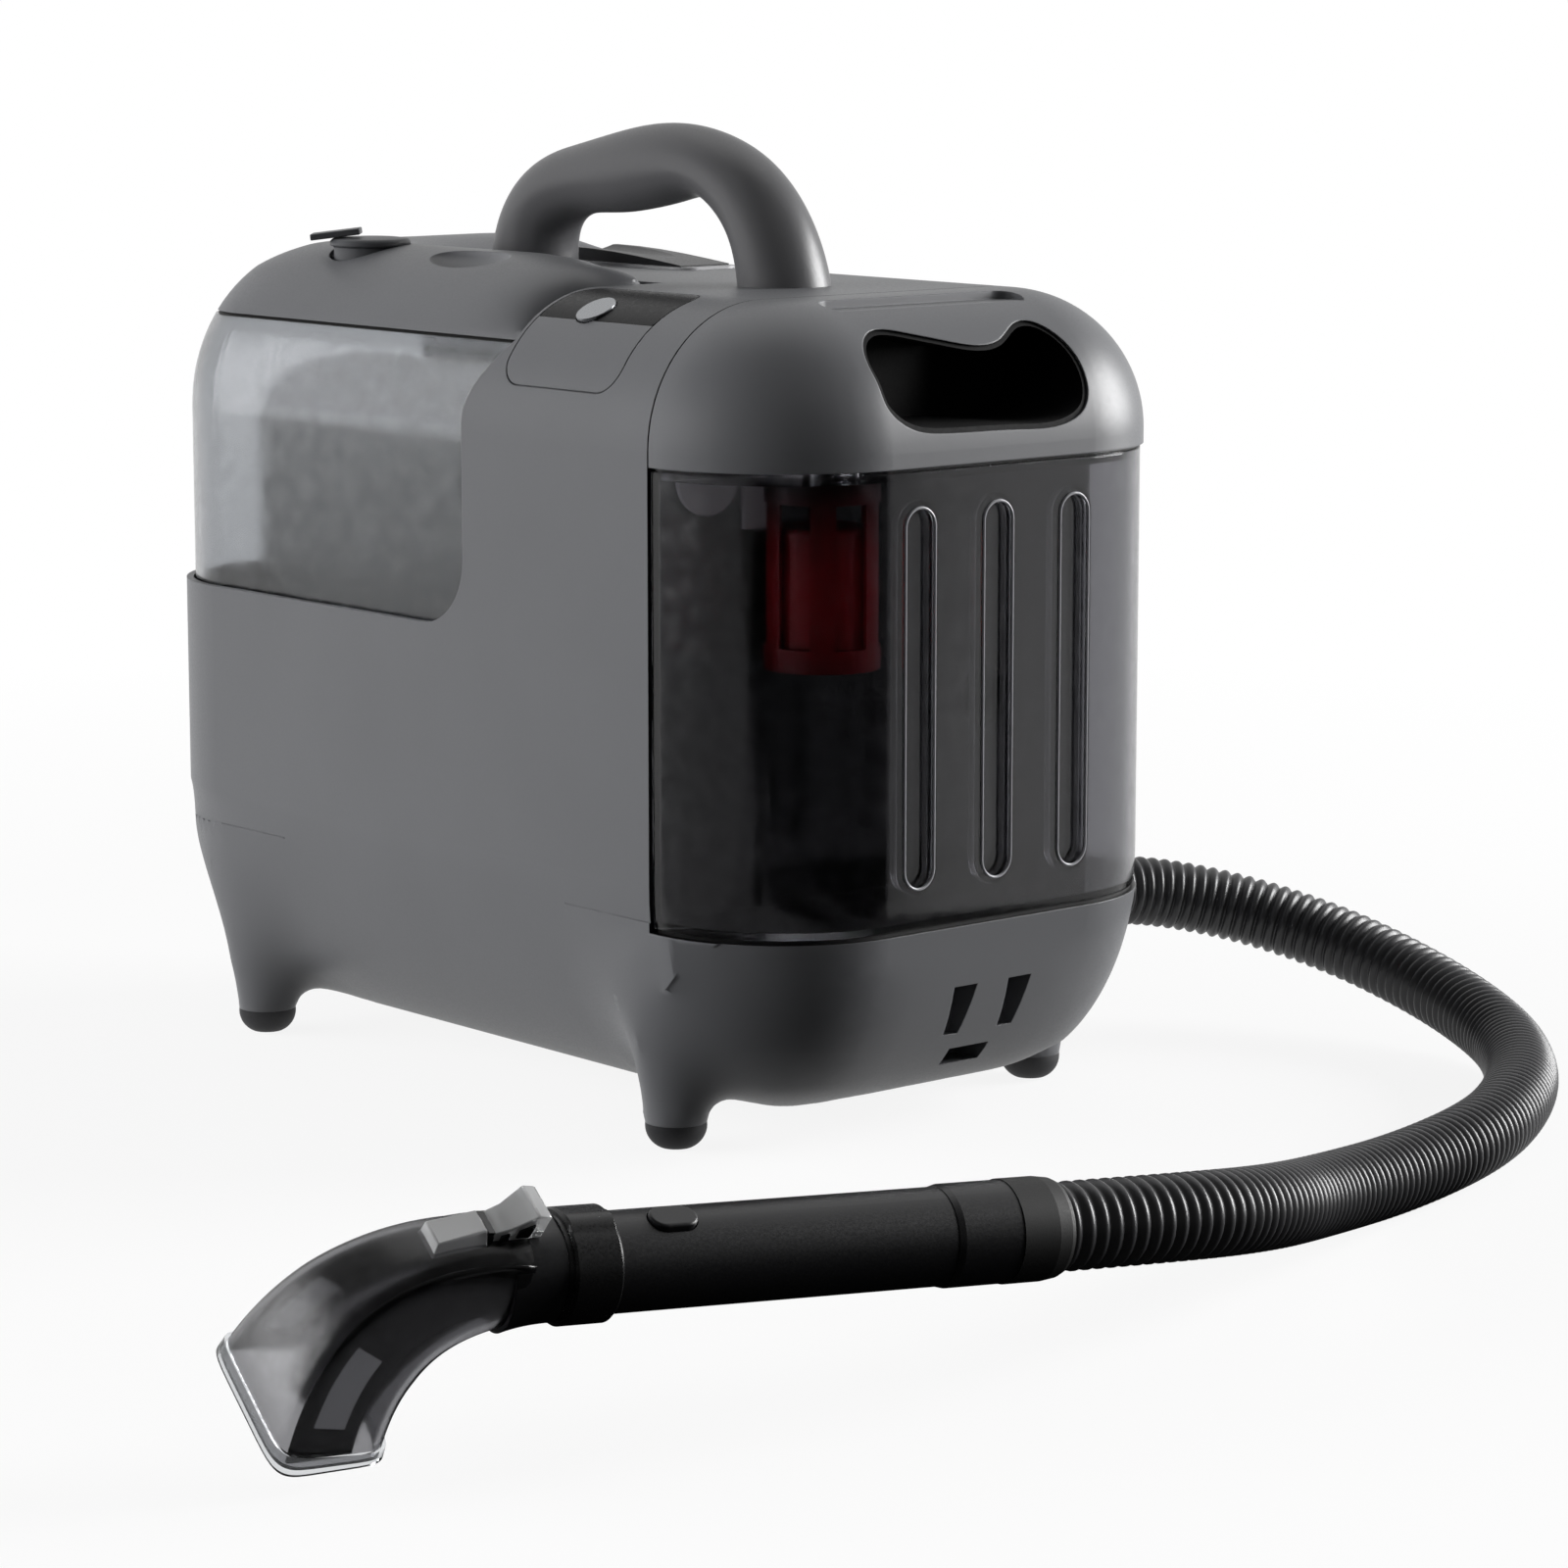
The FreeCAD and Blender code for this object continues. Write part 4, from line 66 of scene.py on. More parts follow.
# Route of the suction hose, as control points of one smooth spline, from the port round to the wand.
HOSE_ROUTE = [
    (0.118, -0.080, 0.056),
    (0.167, -0.080, 0.056),
    (0.2095, -0.1025, 0.048),
    (0.236, -0.142, 0.0355),
    (0.2415, -0.190, 0.0225),
    (0.225, -0.2385, 0.0145),
    (0.188, -0.2815, 0.0138),
    (0.149, -0.313, 0.0138),
    (0.100, -0.3405, 0.0138),
    (0.037, -0.360, 0.0145),
    (-0.029, -0.383, 0.0215),
    (-0.085, -0.413, 0.033),
    (-0.13504, -0.42636, 0.04137),
    (-0.180, -0.417, 0.044),
]

# The bay of the recovery tank: its back wall and its deck, which also bound the casing's painted shade.
BAY_WALL = -0.1359
BAY_DECK = 0.0804

# The zone in which the casing's legs are blended into it: its heights, and its nearest to the middle along Y.
LEG_ZONE_LOW = 0.0125
LEG_ZONE_HIGH = 0.112
LEG_ZONE_NEAR = 0.06
LEG_LOW_RAMP = 0.008
LEG_HIGH_RAMP = 0.012

# What that zone leaves out: the chin's slots, and the bay with a strip below its rim.
SLOTS_LEFT = -0.02
SLOTS_RIGHT = 0.032
SLOTS_REAR = -0.15
BAY_REAR = BAY_WALL + 0.010
CHIN_REAR = BAY_WALL + 0.012

# The strip below the bay's rim and the ramp under it, on the chin and at its two rounded corners.
RIM_STRIP = (0.010, 0.012)
CORNER_STRIP = (0.0015, 0.003)
CORNER_SIDE = 0.088
CORNER_FRONT = -0.175
CORNER_REAR = -0.148

# The openings in the right wall, as (y, z) in mm: the grille's half sizes, and the hose port's radius.
GRILLE_MIDDLE = (25.0, 121.5)
GRILLE_HALF = (26.0, 14.5)
PORT_MIDDLE = (-80.0, 56.0)
PORT_RADIUS = 17.0
OPENING_MARGIN = 0.001
OPENING_RAMP = 0.008

# An edge is a crease to be rounded above the first angle, and sharp above the second.
CREASE_ANGLE = math.radians(7.0)
SHARP_ANGLE = math.radians(35.0)

# The blades in the exhaust grille's openings, in mm: place, step, count, size and slant.
BLADE_X = 103.4
BLADE_Y = 25.0
BLADE_LOW = 111.1
BLADE_STEP = 5.0
BLADE_COUNT = 5
BLADE_SIZE = Vector((2.2, 43.6, 0.7))
BLADE_SLANT = math.radians(38.0)

# Height of the handle's underside, and the way in which the filler's tab points.
HANDLE_UNDER = 0.3215
TAB_TURN = math.radians(139.5)

# The recovery tank's grooves, in mm: middle, spacing, lower and upper end, and the tank's front.
GROOVE_MIDDLE = 2.5
GROOVE_STEP = 36.5
GROOVE_FOOT = 96.0
GROOVE_HEAD = 229.0
TANK_FRONT = -196.8

# The clean tank's inner wall, in mm: its two faces, its ends, its foot, and its upper edge as (y, z).
INNER_WALL_FACES = (-45.0, -46.2)
INNER_WALL_FRONT = -20.0
INNER_WALL_REAR = 180.5
INNER_WALL_FOOT = 125.0
INNER_WALL_CREST = [(180.5, 236.0), (174.0, 246.0), (160.0, 255.0), (142.0, 260.0), (118.0, 264.0),
                    (90.0, 265.0), (-20.0, 264.0)]

# The clean tank's cap: the height of its seam, the middle of its finger scoop and of its filler plug.
CAP_SEAM_HEIGHT = 0.2804
SCOOP_CENTRE = Vector((-0.060, 0.026, 0.307))
SCOOP_HALF = (0.0145, 0.0255)
SCOOP_RAMP = 0.2
PLUG_CENTRE = Vector((-0.053, 0.096, 0.307))
FILLER_RADIUS = 0.0175
SEAM_MARGIN = 0.002
CAP_RAMP = 0.004

# The wand's own axes: along the tube, up through the trigger, and across.
WAND_END = Vector((-0.180, -0.417, 0.044))
WAND_ALONG = Vector((-0.975, 0.203, 0.057)).normalized()
WAND_ROLL = math.radians(27.0)

# The nozzle's top and low side, in mm: start, pull and end, each as (along, height, half width).
NOZZLE_TOP = (Vector((177.0, 15.0, 14.9)), Vector((240.0, 20.0, 10.0)), Vector((247.4, -42.5, 27.5)))
NOZZLE_LOW = (Vector((177.0, -14.6, 14.9)), Vector((208.0, -13.0, 13.0)), Vector((213.0, -44.5, 24.0)))
NOZZLE_WALL = 1.6

# The nozzle's side plates: where they lie between its low side (-1) and its top (1) and across it, their steps
# along and up, and the steps between which their windows are.
PLATE_LOW = -0.42
PLATE_HIGH = 0.86
PLATE_SIDE = 0.93
PLATE_STEPS = 32
PLATE_PARTS = 8
WINDOW_STEPS = (20, 29)
WINDOW_PARTS = (2, 6)


def ramp(value, width):
    """How far value has come from 0 to width, as a share from 0 to 1."""
    return min(max(value / width, 0.0), 1.0)


def linear(code):
    """sRGB hex colour as the linear values that a shader takes."""
    values = []
    for start in (0, 2, 4):
        part = int(code[start:start + 2], 16) / 255.0
        values.append(part / 12.92 if part <= 0.04045 else ((part + 0.055) / 1.055) ** 2.4)
    return (*values, 1.0)


def add(tree, kind, inputs=None, **settings):
    """Adds a node, sets its settings, and sets or links its inputs."""
    node = tree.nodes.new(kind)
    for name, value in settings.items():
        setattr(node, name, value)
    for key, value in (inputs or {}).items():
        if isinstance(value, bpy.types.NodeSocket):
            tree.links.new(value, node.inputs[key])
        else:
            node.inputs[key].default_value = value
    return node


def new_rig(name, sizes):
    """An empty tree of geometry nodes with named inputs; gives the tree and the sockets of its inputs."""
    tree = bpy.data.node_groups.new(name, "GeometryNodeTree")
    tree.interface.new_socket("Geometry", in_out="INPUT", socket_type="NodeSocketGeometry")
    for label, kind in sizes:
        tree.interface.new_socket(label, in_out="INPUT", socket_type=kind)
    tree.interface.new_socket("Geometry", in_out="OUTPUT", socket_type="NodeSocketGeometry")
    return tree, tree.nodes.new("NodeGroupInput").outputs


def end_rig(tree, geometry, material):
    """Closes a tree with plain geometry and its material."""
    real = add(tree, "GeometryNodeRealizeInstances", {"Geometry": geometry})
    dressed = add(tree, "GeometryNodeSetMaterial", {"Geometry": real.outputs[0], "Material": material})
    out = tree.nodes.new("NodeGroupOutput")
    tree.links.new(dressed.outputs[0], out.inputs[0])


def made_plain(piece, modifier):
    """Turns what a modifier makes of a piece into the piece's own mesh."""
    graph = bpy.context.evaluated_depsgraph_get()
    result = bpy.data.meshes.new_from_object(piece.evaluated_get(graph))
    piece.modifiers.remove(modifier)
    piece.data = result
    result.name = piece.name
    return piece


def run_rig(tree, name, mesh, values):
    """Runs a tree on a mesh and gives an object that holds the plain result."""
    piece = bpy.data.objects.new(name, mesh)
    bpy.context.scene.collection.objects.link(piece)
    rig = piece.modifiers.new("rig", "NODES")
    rig.node_group = tree
    for item in tree.interface.items_tree:
        if item.in_out == "INPUT" and item.name in values:
            rig[item.identifier] = values[item.name]
    return made_plain(piece, rig)


def piece_of(name, work, material, smooth_to=35.0):
    """An object from a finished bmesh, smooth where its faces meet softly."""
    mesh = bpy.data.meshes.new(name)
    bmesh.ops.recalc_face_normals(work, faces=work.faces)
    work.to_mesh(mesh)
    work.free()
    mesh.materials.append(material)
    mesh.shade_smooth()
    mesh.set_sharp_from_angle(angle=math.radians(smooth_to))
    piece = bpy.data.objects.new(name, mesh)
    bpy.context.scene.collection.objects.link(piece)
    return piece


def wand_matrix():
    """Turns the wand's own axes into the frame."""
    upright = (Vector((0, 0, 1)) - WAND_ALONG * WAND_ALONG.z).normalized()
    side = WAND_ALONG.cross(upright)
    top = upright * math.cos(WAND_ROLL) - side * math.sin(WAND_ROLL)
    lateral = top.cross(WAND_ALONG)
    matrix = Matrix((WAND_ALONG, lateral, top)).transposed().to_4x4()
    matrix.translation = WAND_END
    return matrix


def dress(material, *names):
    """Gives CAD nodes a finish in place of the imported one."""
    for name in names:
        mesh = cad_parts[name].data
        if not mesh.materials:
            mesh.materials.append(material)
        for index in range(len(mesh.materials)):
            mesh.materials[index] = material


def painted_bay_shade(tree, place, colour, dark):
    """Paints shade into a casing's colour: nearly black in the bay behind and under the recovery tank."""
    parts = add(tree, "ShaderNodeSeparateXYZ", {"Vector": place}).outputs
    front = add(tree, "ShaderNodeMath", {0: parts["Y"], 1: BAY_WALL}, operation="LESS_THAN")
    above = add(tree, "ShaderNodeMath", {0: parts["Z"], 1: BAY_DECK}, operation="GREATER_THAN")
    inside = add(tree, "ShaderNodeMath", {0: front.outputs[0], 1: above.outputs[0]}, operation="MULTIPLY")
    painted = add(tree, "ShaderNodeMix", {0: inside.outputs[0], 6: colour, 7: linear(dark)}, data_type="RGBA")
    return painted.outputs[2]


def surface(name, colour, roughness, grain=0.8, depth=0.012, mottle=0.06, edge=0.0, bay=None, **shader):
    """A moulded finish: slight cloudiness, a fine grain in height and gloss, and softened edges.

    grain is the grain's size and depth its height, in mm; edge is the radius that edges seem to have; bay is the
    colour of the painted shade in the casing's bay behind and under the recovery tank.
    """
    material = bpy.data.materials.new(name)
    material.use_nodes = True
    tree = material.node_tree
    principled = tree.nodes["Principled BSDF"]
    place = add(tree, "ShaderNodeTexCoord").outputs["Object"]
    cloud = add(tree, "ShaderNodeTexNoise", {"Vector": place, "Scale": 1.0 / (45.0 * MM), "Detail": 3.0})
    base = linear(colour)
    dark = tuple(value * (1.0 - mottle) for value in base[:3]) + (1.0,)
    light = tuple(min(value * (1.0 + mottle), 1.0) for value in base[:3]) + (1.0,)
    tone = add(tree, "ShaderNodeMix", {0: cloud.outputs["Fac"], 6: dark, 7: light}, data_type="RGBA")
    colour_out = tone.outputs[2]
    # Painted shade: the bay behind and under the recovery tank turns nearly black.
    if bay:
        colour_out = painted_bay_shade(tree, place, colour_out, bay)
    tree.links.new(colour_out, principled.inputs["Base Color"])
    fine = add(tree, "ShaderNodeTexNoise", {"Vector": place, "Scale": 1.0 / (grain * MM), "Detail": 2.0})
    gloss = add(tree, "ShaderNodeMapRange", {
        "Value": fine.outputs["Fac"], "From Min": 0.3, "From Max": 0.7,
        "To Min": max(roughness - 0.05, 0.0), "To Max": roughness + 0.05})
    tree.links.new(gloss.outputs["Result"], principled.inputs["Roughness"])
    bump = add(tree, "ShaderNodeBump", {"Height": fine.outputs["Fac"], "Distance": depth * MM})
    if edge:
        soft = add(tree, "ShaderNodeBevel", {"Radius": edge * MM}, samples=4)
        tree.links.new(soft.outputs["Normal"], bump.inputs["Normal"])
    tree.links.new(bump.outputs["Normal"], principled.inputs["Normal"])
    for key, value in shader.items():
        principled.inputs[key.replace("_", " ").title().replace("Ior", "IOR")].default_value = value
    return material


def painted_light_pool(name, bright, deep, middle, reach):
    """A red with a painted pool of light: bright round one point, and sinking into painted shade away from it."""
    material = surface(name, bright, 0.4)
    tree = material.node_tree
    principled = tree.nodes["Principled BSDF"]
    place = add(tree, "ShaderNodeTexCoord").outputs["Object"]
    # The painted shade deepens with the distance from the lit middle.
    gap = add(tree, "ShaderNodeVectorMath", {0: place, 1: middle}, operation="DISTANCE")
    share = add(tree, "ShaderNodeMapRange", {
        "Value": gap.outputs["Value"], "From Min": reach * 0.2, "From Max": reach, "To Min": 0.0, "To Max": 1.0},
        interpolation_type="SMOOTHSTEP")
    plain = principled.inputs["Base Color"].links[0].from_socket
    tone = add(tree, "ShaderNodeMix", {0: share.outputs[0], 6: plain, 7: linear(deep)}, data_type="RGBA")
    tree.links.new(tone.outputs[2], principled.inputs["Base Color"])
    return material


class CameraSettings(bpy.types.PropertyGroup):
    """Where the picture is taken from."""

    lens: FloatProperty(name="Lens", description="Focal length for a 36 mm sensor", default=112.8)
    place: FloatVectorProperty(
        name="Place", description="Where the camera stands", subtype="TRANSLATION", unit="LENGTH",
        default=(-1.15875, -1.43953, 0.41466))
    turn: FloatVectorProperty(
        name="Turn", description="How the camera is turned", subtype="EULER", unit="ROTATION",
        default=(math.radians(80.46), 0.0, math.radians(-40.55)))


class HoseSettings(bpy.types.PropertyGroup):
    """Sizes of the ribbed suction hose."""

    crest: FloatProperty(name="Crest diameter", description="Across the ribs", unit="LENGTH", default=0.027)
    root: FloatProperty(name="Root diameter", description="Between the ribs", unit="LENGTH", default=0.0238)
    pitch: FloatProperty(name="Rib pitch", description="From rib to rib", unit="LENGTH", default=0.00473)
    length: FloatProperty(name="Length", description="From port to wand", unit="LENGTH", default=0.705)
    steps: IntProperty(name="Rings per rib", description="Rings of points in each rib", default=12)
    sides: IntProperty(name="Sides", description="Points round the hose", default=36)


class FastenerSettings(bpy.types.PropertyGroup):
    """Sizes of the floor plate's screws."""

    head: FloatProperty(name="Head radius", description="Radius of the head", unit="LENGTH", default=0.0032)
    head_height: FloatProperty(name="Head height", description="Height of the head", unit="LENGTH", default=0.002)
    shank: FloatProperty(name="Shank radius", description="Radius of the thread", unit="LENGTH", default=0.0016)
    length: FloatProperty(name="Length", description="Whole length", unit="LENGTH", default=0.0065)
    slot_width: FloatProperty(name="Cross width", description="Width of the cross", unit="LENGTH", default=0.0009)
    slot_depth: FloatProperty(name="Cross depth", description="Depth of the cross", unit="LENGTH", default=0.001)


class CasingSettings(bpy.types.PropertyGroup):
    """How softly the legs run into the casing."""

    spacing: FloatProperty(name="Spacing", description="Longest edge near a leg", unit="LENGTH", default=0.0035)
    reach: FloatProperty(name="Reach", description="How far from a crease the skin is rounded", unit="LENGTH",
                         default=0.014)
    rounds: IntProperty(name="Rounds", description="How often the skin is relaxed", default=70)
    shade_rounds: IntProperty(name="Shading rounds", description="How often its shading is relaxed", default=160)


class TankSettings(bpy.types.PropertyGroup):
    """Sizes of the recovery tank's groove rims."""

    bead: FloatProperty(name="Bead radius", description="Radius of the rim's bead", unit="LENGTH", default=0.00055)
    bead_width: FloatProperty(name="Groove width", description="Width between the beads' middles", unit="LENGTH",
                              default=0.0137)


class LightSettings(bpy.types.PropertyGroup):
    """Power of the studio lights."""

    left: FloatProperty(name="Left light", description="Large softbox behind the left side", default=165.0)
    right: FloatProperty(name="Right light", description="Softbox at the right front", default=115.0)
    top: FloatProperty(name="Top light", description="Softbox overhead", default=5.0)
    lid: FloatProperty(name="Lid light", description="Small softbox over the front", default=0.2)
    room: FloatProperty(name="Room light", description="Plain light from all round", default=0.08)


class ExtractorSettings(bpy.types.PropertyGroup):
    """All that a user may change."""

    camera: PointerProperty(type=CameraSettings)
    hose: PointerProperty(type=HoseSettings)
    screws: PointerProperty(type=FastenerSettings)
    casing: PointerProperty(type=CasingSettings)
    tanks: PointerProperty(type=TankSettings)
    lights: PointerProperty(type=LightSettings)


def settings():
    """The settings kept on the scene."""
    return bpy.context.scene.extractor


class EXTRACTOR_OT_camera(bpy.types.Operator):
    """Set up the camera"""

    bl_idname = "extractor.camera"
    bl_label = "Camera"

    def execute(self, context):
        chosen = settings().camera
        data = bpy.data.cameras.new("camera")
        data.lens = chosen.lens
        data.sensor_width = 36.0
        data.clip_start = 0.05
        data.clip_end = 300.0
        camera = bpy.data.objects.new("camera", data)
        context.scene.collection.objects.link(camera)
        camera.location = chosen.place
        camera.rotation_euler = Euler(chosen.turn)
        context.scene.camera = camera
        return {"FINISHED"}


def hose_line(name, points):
    """Points along the smooth spline that the hose follows, as a mesh of one open line."""
    curve = bpy.data.curves.new(name, "CURVE")
    curve.dimensions = "3D"
    curve.resolution_u = 24
    spline = curve.splines.new("NURBS")
    spline.points.add(len(points) - 1)
    for place, point in zip(points, spline.points):
        point.co = (*place, 1.0)
    spline.order_u = 3
    spline.use_endpoint_u = True
    holder = bpy.data.objects.new(name, curve)
    bpy.context.scene.collection.objects.link(holder)
    graph = bpy.context.evaluated_depsgraph_get()
    line = bpy.data.meshes.new_from_object(holder.evaluated_get(graph))
    bpy.data.objects.remove(holder)
    return line


def rib_rig():
    """Ribs and grooves swept along a line."""
    tree, given = new_rig("ribbed_hose", [
        ("Pitch", "NodeSocketFloat"), ("Step", "NodeSocketFloat"), ("Root radius", "NodeSocketFloat"),
        ("Rib height", "NodeSocketFloat"), ("Sides", "NodeSocketInt"), ("Material", "NodeSocketMaterial")])
    line = add(tree, "GeometryNodeMeshToCurve", {"Mesh": given["Geometry"]})
    even = add(tree, "GeometryNodeResampleCurve", {"Curve": line.outputs[0], "Length": given["Step"]},
               mode="LENGTH")
    along = add(tree, "GeometryNodeSplineParameter")
    turns = add(tree, "ShaderNodeMath", {0: along.outputs["Length"], 1: given["Pitch"]}, operation="DIVIDE")
    angle = add(tree, "ShaderNodeMath", {0: turns.outputs[0], 1: math.tau}, operation="MULTIPLY")
    wave = add(tree, "ShaderNodeMath", {0: angle.outputs[0]}, operation="COSINE")
    share = add(tree, "ShaderNodeMath", {0: wave.outputs[0], 1: -0.5, 2: 0.5}, operation="MULTIPLY_ADD")
    full = add(tree, "ShaderNodeMath", {0: share.outputs[0], 1: 0.55}, operation="POWER")
    radius = add(tree, "ShaderNodeMath",
                 {0: full.outputs[0], 1: given["Rib height"], 2: given["Root radius"]},
                 operation="MULTIPLY_ADD")
    section = add(tree, "GeometryNodeCurvePrimitiveCircle", {"Resolution": given["Sides"], "Radius": 1.0})
    tube = add(tree, "GeometryNodeCurveToMesh", {
        "Curve": even.outputs[0], "Profile Curve": section.outputs[0], "Scale": radius.outputs[0],
        "Fill Caps": True})
    smooth = add(tree, "GeometryNodeSetShadeSmooth", {"Geometry": tube.outputs[0]})
    end_rig(tree, smooth.outputs[0], given["Material"])
    return tree


def screw_rig():
    """Cross-head screws, head down, one on every point."""
    tree, given = new_rig("cross_head_screws", [
        ("Head radius", "NodeSocketFloat"), ("Head height", "NodeSocketFloat"), ("Shank radius", "NodeSocketFloat"),
        ("Length", "NodeSocketFloat"), ("Cross width", "NodeSocketFloat"), ("Cross depth", "NodeSocketFloat"),
        ("Material", "NodeSocketMaterial")])

    def lifted(geometry, height, share):
        """Moves geometry up by a share of a height."""
        rise = add(tree, "ShaderNodeMath", {0: height, 1: share}, operation="MULTIPLY")
        way = add(tree, "ShaderNodeCombineXYZ", {"Z": rise.outputs[0]})
        moved = add(tree, "GeometryNodeTransform", {"Geometry": geometry, "Translation": way.outputs[0]})
        return moved.outputs[0]

    head = add(tree, "GeometryNodeMeshCylinder", {
        "Vertices": 40, "Radius": given["Head radius"], "Depth": given["Head height"]})
    shank = add(tree, "GeometryNodeMeshCylinder", {
        "Vertices": 20, "Radius": given["Shank radius"], "Depth": given["Length"]})
    span = add(tree, "ShaderNodeMath", {0: given["Head radius"], 1: 1.3}, operation="MULTIPLY")
    deep = add(tree, "ShaderNodeMath", {0: given["Cross depth"], 1: 2.0}, operation="MULTIPLY")
    bars = []
    for first, second in ((span.outputs[0], given["Cross width"]), (given["Cross width"], span.outputs[0])):
        size = add(tree, "ShaderNodeCombineXYZ", {"X": first, "Y": second, "Z": deep.outputs[0]})
        bars.append(add(tree, "GeometryNodeMeshCube", {"Size": size.outputs[0]}).outputs[0])
    cut = add(tree, "GeometryNodeMeshBoolean", {"Mesh 1": lifted(head.outputs[0], given["Head height"], 0.5)},
              operation="DIFFERENCE")
    for bar in bars:
        tree.links.new(bar, cut.inputs["Mesh 2"])
    both = add(tree, "GeometryNodeJoinGeometry")
    tree.links.new(cut.outputs["Mesh"], both.inputs[0])
    tree.links.new(lifted(shank.outputs[0], given["Length"], 0.55), both.inputs[0])
    placed = add(tree, "GeometryNodeInstanceOnPoints", {
        "Points": given["Geometry"], "Instance": both.outputs[0]})
    end_rig(tree, placed.outputs[0], given["Material"])
    return tree


def louvre_rig():
    """Slanted blades, one on every point."""
    tree, given = new_rig("louvre_blades", [
        ("Size", "NodeSocketVector"), ("Slant", "NodeSocketVector"), ("Material", "NodeSocketMaterial")])
    blade = add(tree, "GeometryNodeMeshCube", {"Size": given["Size"]})
    turned = add(tree, "GeometryNodeTransform", {"Geometry": blade.outputs[0], "Rotation": given["Slant"]})
    placed = add(tree, "GeometryNodeInstanceOnPoints", {
        "Points": given["Geometry"], "Instance": turned.outputs[0]})
    end_rig(tree, placed.outputs[0], given["Material"])
    return tree


def point_mesh(name, points):
    """A mesh of loose points."""
    mesh = bpy.data.meshes.new(name)
    mesh.from_pydata([tuple(point) for point in points], [], [])
    return mesh


def island_feet(node):
    """The middle of the lower end of each separate solid in a CAD node."""
    work = joined_copy(node)
    found = set()
    feet = []
    for start in work.verts:
        if start in found:
            continue
        found.add(start)
        group = [start]
        for vertex in group:
            for edge in vertex.link_edges:
                other = edge.other_vert(vertex)
                if other not in found:
                    found.add(other)
                    group.append(other)
        across = [vertex.co.x for vertex in group]
        along = [vertex.co.y for vertex in group]
        feet.append(Vector(((min(across) + max(across)) / 2, (min(along) + max(along)) / 2,
                            min(vertex.co.z for vertex in group))))
    work.free()
    return feet


class EXTRACTOR_OT_fasteners(bpy.types.Operator):
    """Set the floor plate's screws and the grille's blades"""

    bl_idname = "extractor.fasteners"
    bl_label = "Screws and blades"

    def execute(self, context):
        sizes = settings().screws
        # Zinc-plated steel: bright, with a faint grain.
        steel = surface("steel_zinc", "b8babd", 0.28, metallic=1.0)
        screws = run_rig(screw_rig(), "cross_head_screws", point_mesh("screw_places", island_feet("base_screws")), {
            "Head radius": sizes.head, "Head height": sizes.head_height, "Shank radius": sizes.shank,
            "Length": sizes.length, "Cross width": sizes.slot_width, "Cross depth": sizes.slot_depth,
            "Material": steel})
        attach(screws, "machine")
        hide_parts("base_screws")
        # Black ABS behind the grille's openings.
        shade = surface("abs_blade_black", "19191b", 0.4)
        places = [Vector((BLADE_X, BLADE_Y, BLADE_LOW + index * BLADE_STEP)) * MM for index in range(BLADE_COUNT)]
        blades = run_rig(louvre_rig(), "louvre_blades", point_mesh("blade_places", places), {
            "Size": BLADE_SIZE * MM, "Slant": Vector((0.0, BLADE_SLANT, 0.0)), "Material": shade})
        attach(blades, "machine")
        return {"FINISHED"}


class EXTRACTOR_OT_hose(bpy.types.Operator):
    """Lay the ribbed hose from the port to the wand"""

    bl_idname = "extractor.hose"
    bl_label = "Hose"

    def execute(self, context):
        sizes = settings().hose
        line = hose_line("hose_line", HOSE_ROUTE)
        path = [tuple(vertex.co) for vertex in line.vertices]
        # Soft black EVA: a dull sheen that runs as a light line over each rib.
        rubber = surface("eva_ribbed_black", "3c3c3e", 0.36, grain=0.6, depth=0.01)
        hose = run_rig(rib_rig(), "hose_ribbed", line, {
            "Pitch": sizes.pitch, "Step": sizes.pitch / sizes.steps, "Root radius": sizes.root / 2,
            "Rib height": (sizes.crest - sizes.root) / 2, "Sides": sizes.sides, "Material": rubber})
        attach(hose, "machine")
        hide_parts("hose")
        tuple(HOSE_ROUTE[0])
        return {"FINISHED"}


def joined_copy(node):
    """A CAD node's mesh as a bmesh with its loose triangles joined."""
    work = bmesh.new()
    work.from_mesh(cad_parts[node].data)
    bmesh.ops.remove_doubles(work, verts=work.verts, dist=1e-6)
    return work


def opening_gap(point):
    """How far a point of the right wall is from the rims of its openings, in metres."""
    if point.x < 0.06:
        return 1.0
    along = abs(point.y / MM - GRILLE_MIDDLE[0]) - GRILLE_HALF[0]
    up = abs(point.z / MM - GRILLE_MIDDLE[1]) - GRILLE_HALF[1]
    port = math.hypot(point.y / MM - PORT_MIDDLE[0], point.z / MM - PORT_MIDDLE[1]) - PORT_RADIUS
    return min(math.hypot(max(along, 0.0), max(up, 0.0)), max(port, 0.0)) * MM


def at_corner(point):
    """True at the chin's two rounded corners, where the softening may go up to the bay's rim."""
    return abs(point.x) > CORNER_SIDE and CORNER_FRONT < point.y < CORNER_REAR


def near_leg(point):
    """True where a leg spreads into the casing, away from the chin's slots and the tank's bay."""
    in_slots = SLOTS_LEFT < point.x < SLOTS_RIGHT and point.y < SLOTS_REAR
    strip, _ = CORNER_STRIP if at_corner(point) else RIM_STRIP
    in_bay = point.y < BAY_REAR and point.z > BAY_DECK - strip
    beside = abs(point.y) > LEG_ZONE_NEAR and not in_slots and not in_bay
    return LEG_ZONE_LOW < point.z < LEG_ZONE_HIGH and beside and opening_gap(point) > OPENING_MARGIN


def leg_hold(point):
    """How freely a point near a leg may move: not at all at the foot and at the zone's upper end."""
    low = ramp(point.z - LEG_ZONE_LOW, LEG_LOW_RAMP)
    high = ramp(LEG_ZONE_HIGH - point.z, LEG_HIGH_RAMP)
    strip, width = CORNER_STRIP if at_corner(point) else RIM_STRIP
    chin = ramp(BAY_DECK - strip - point.z, width) if point.y < CHIN_REAR else 1.0
    rims = ramp(opening_gap(point) - OPENING_MARGIN, OPENING_RAMP)
    return low * high * chin * rims


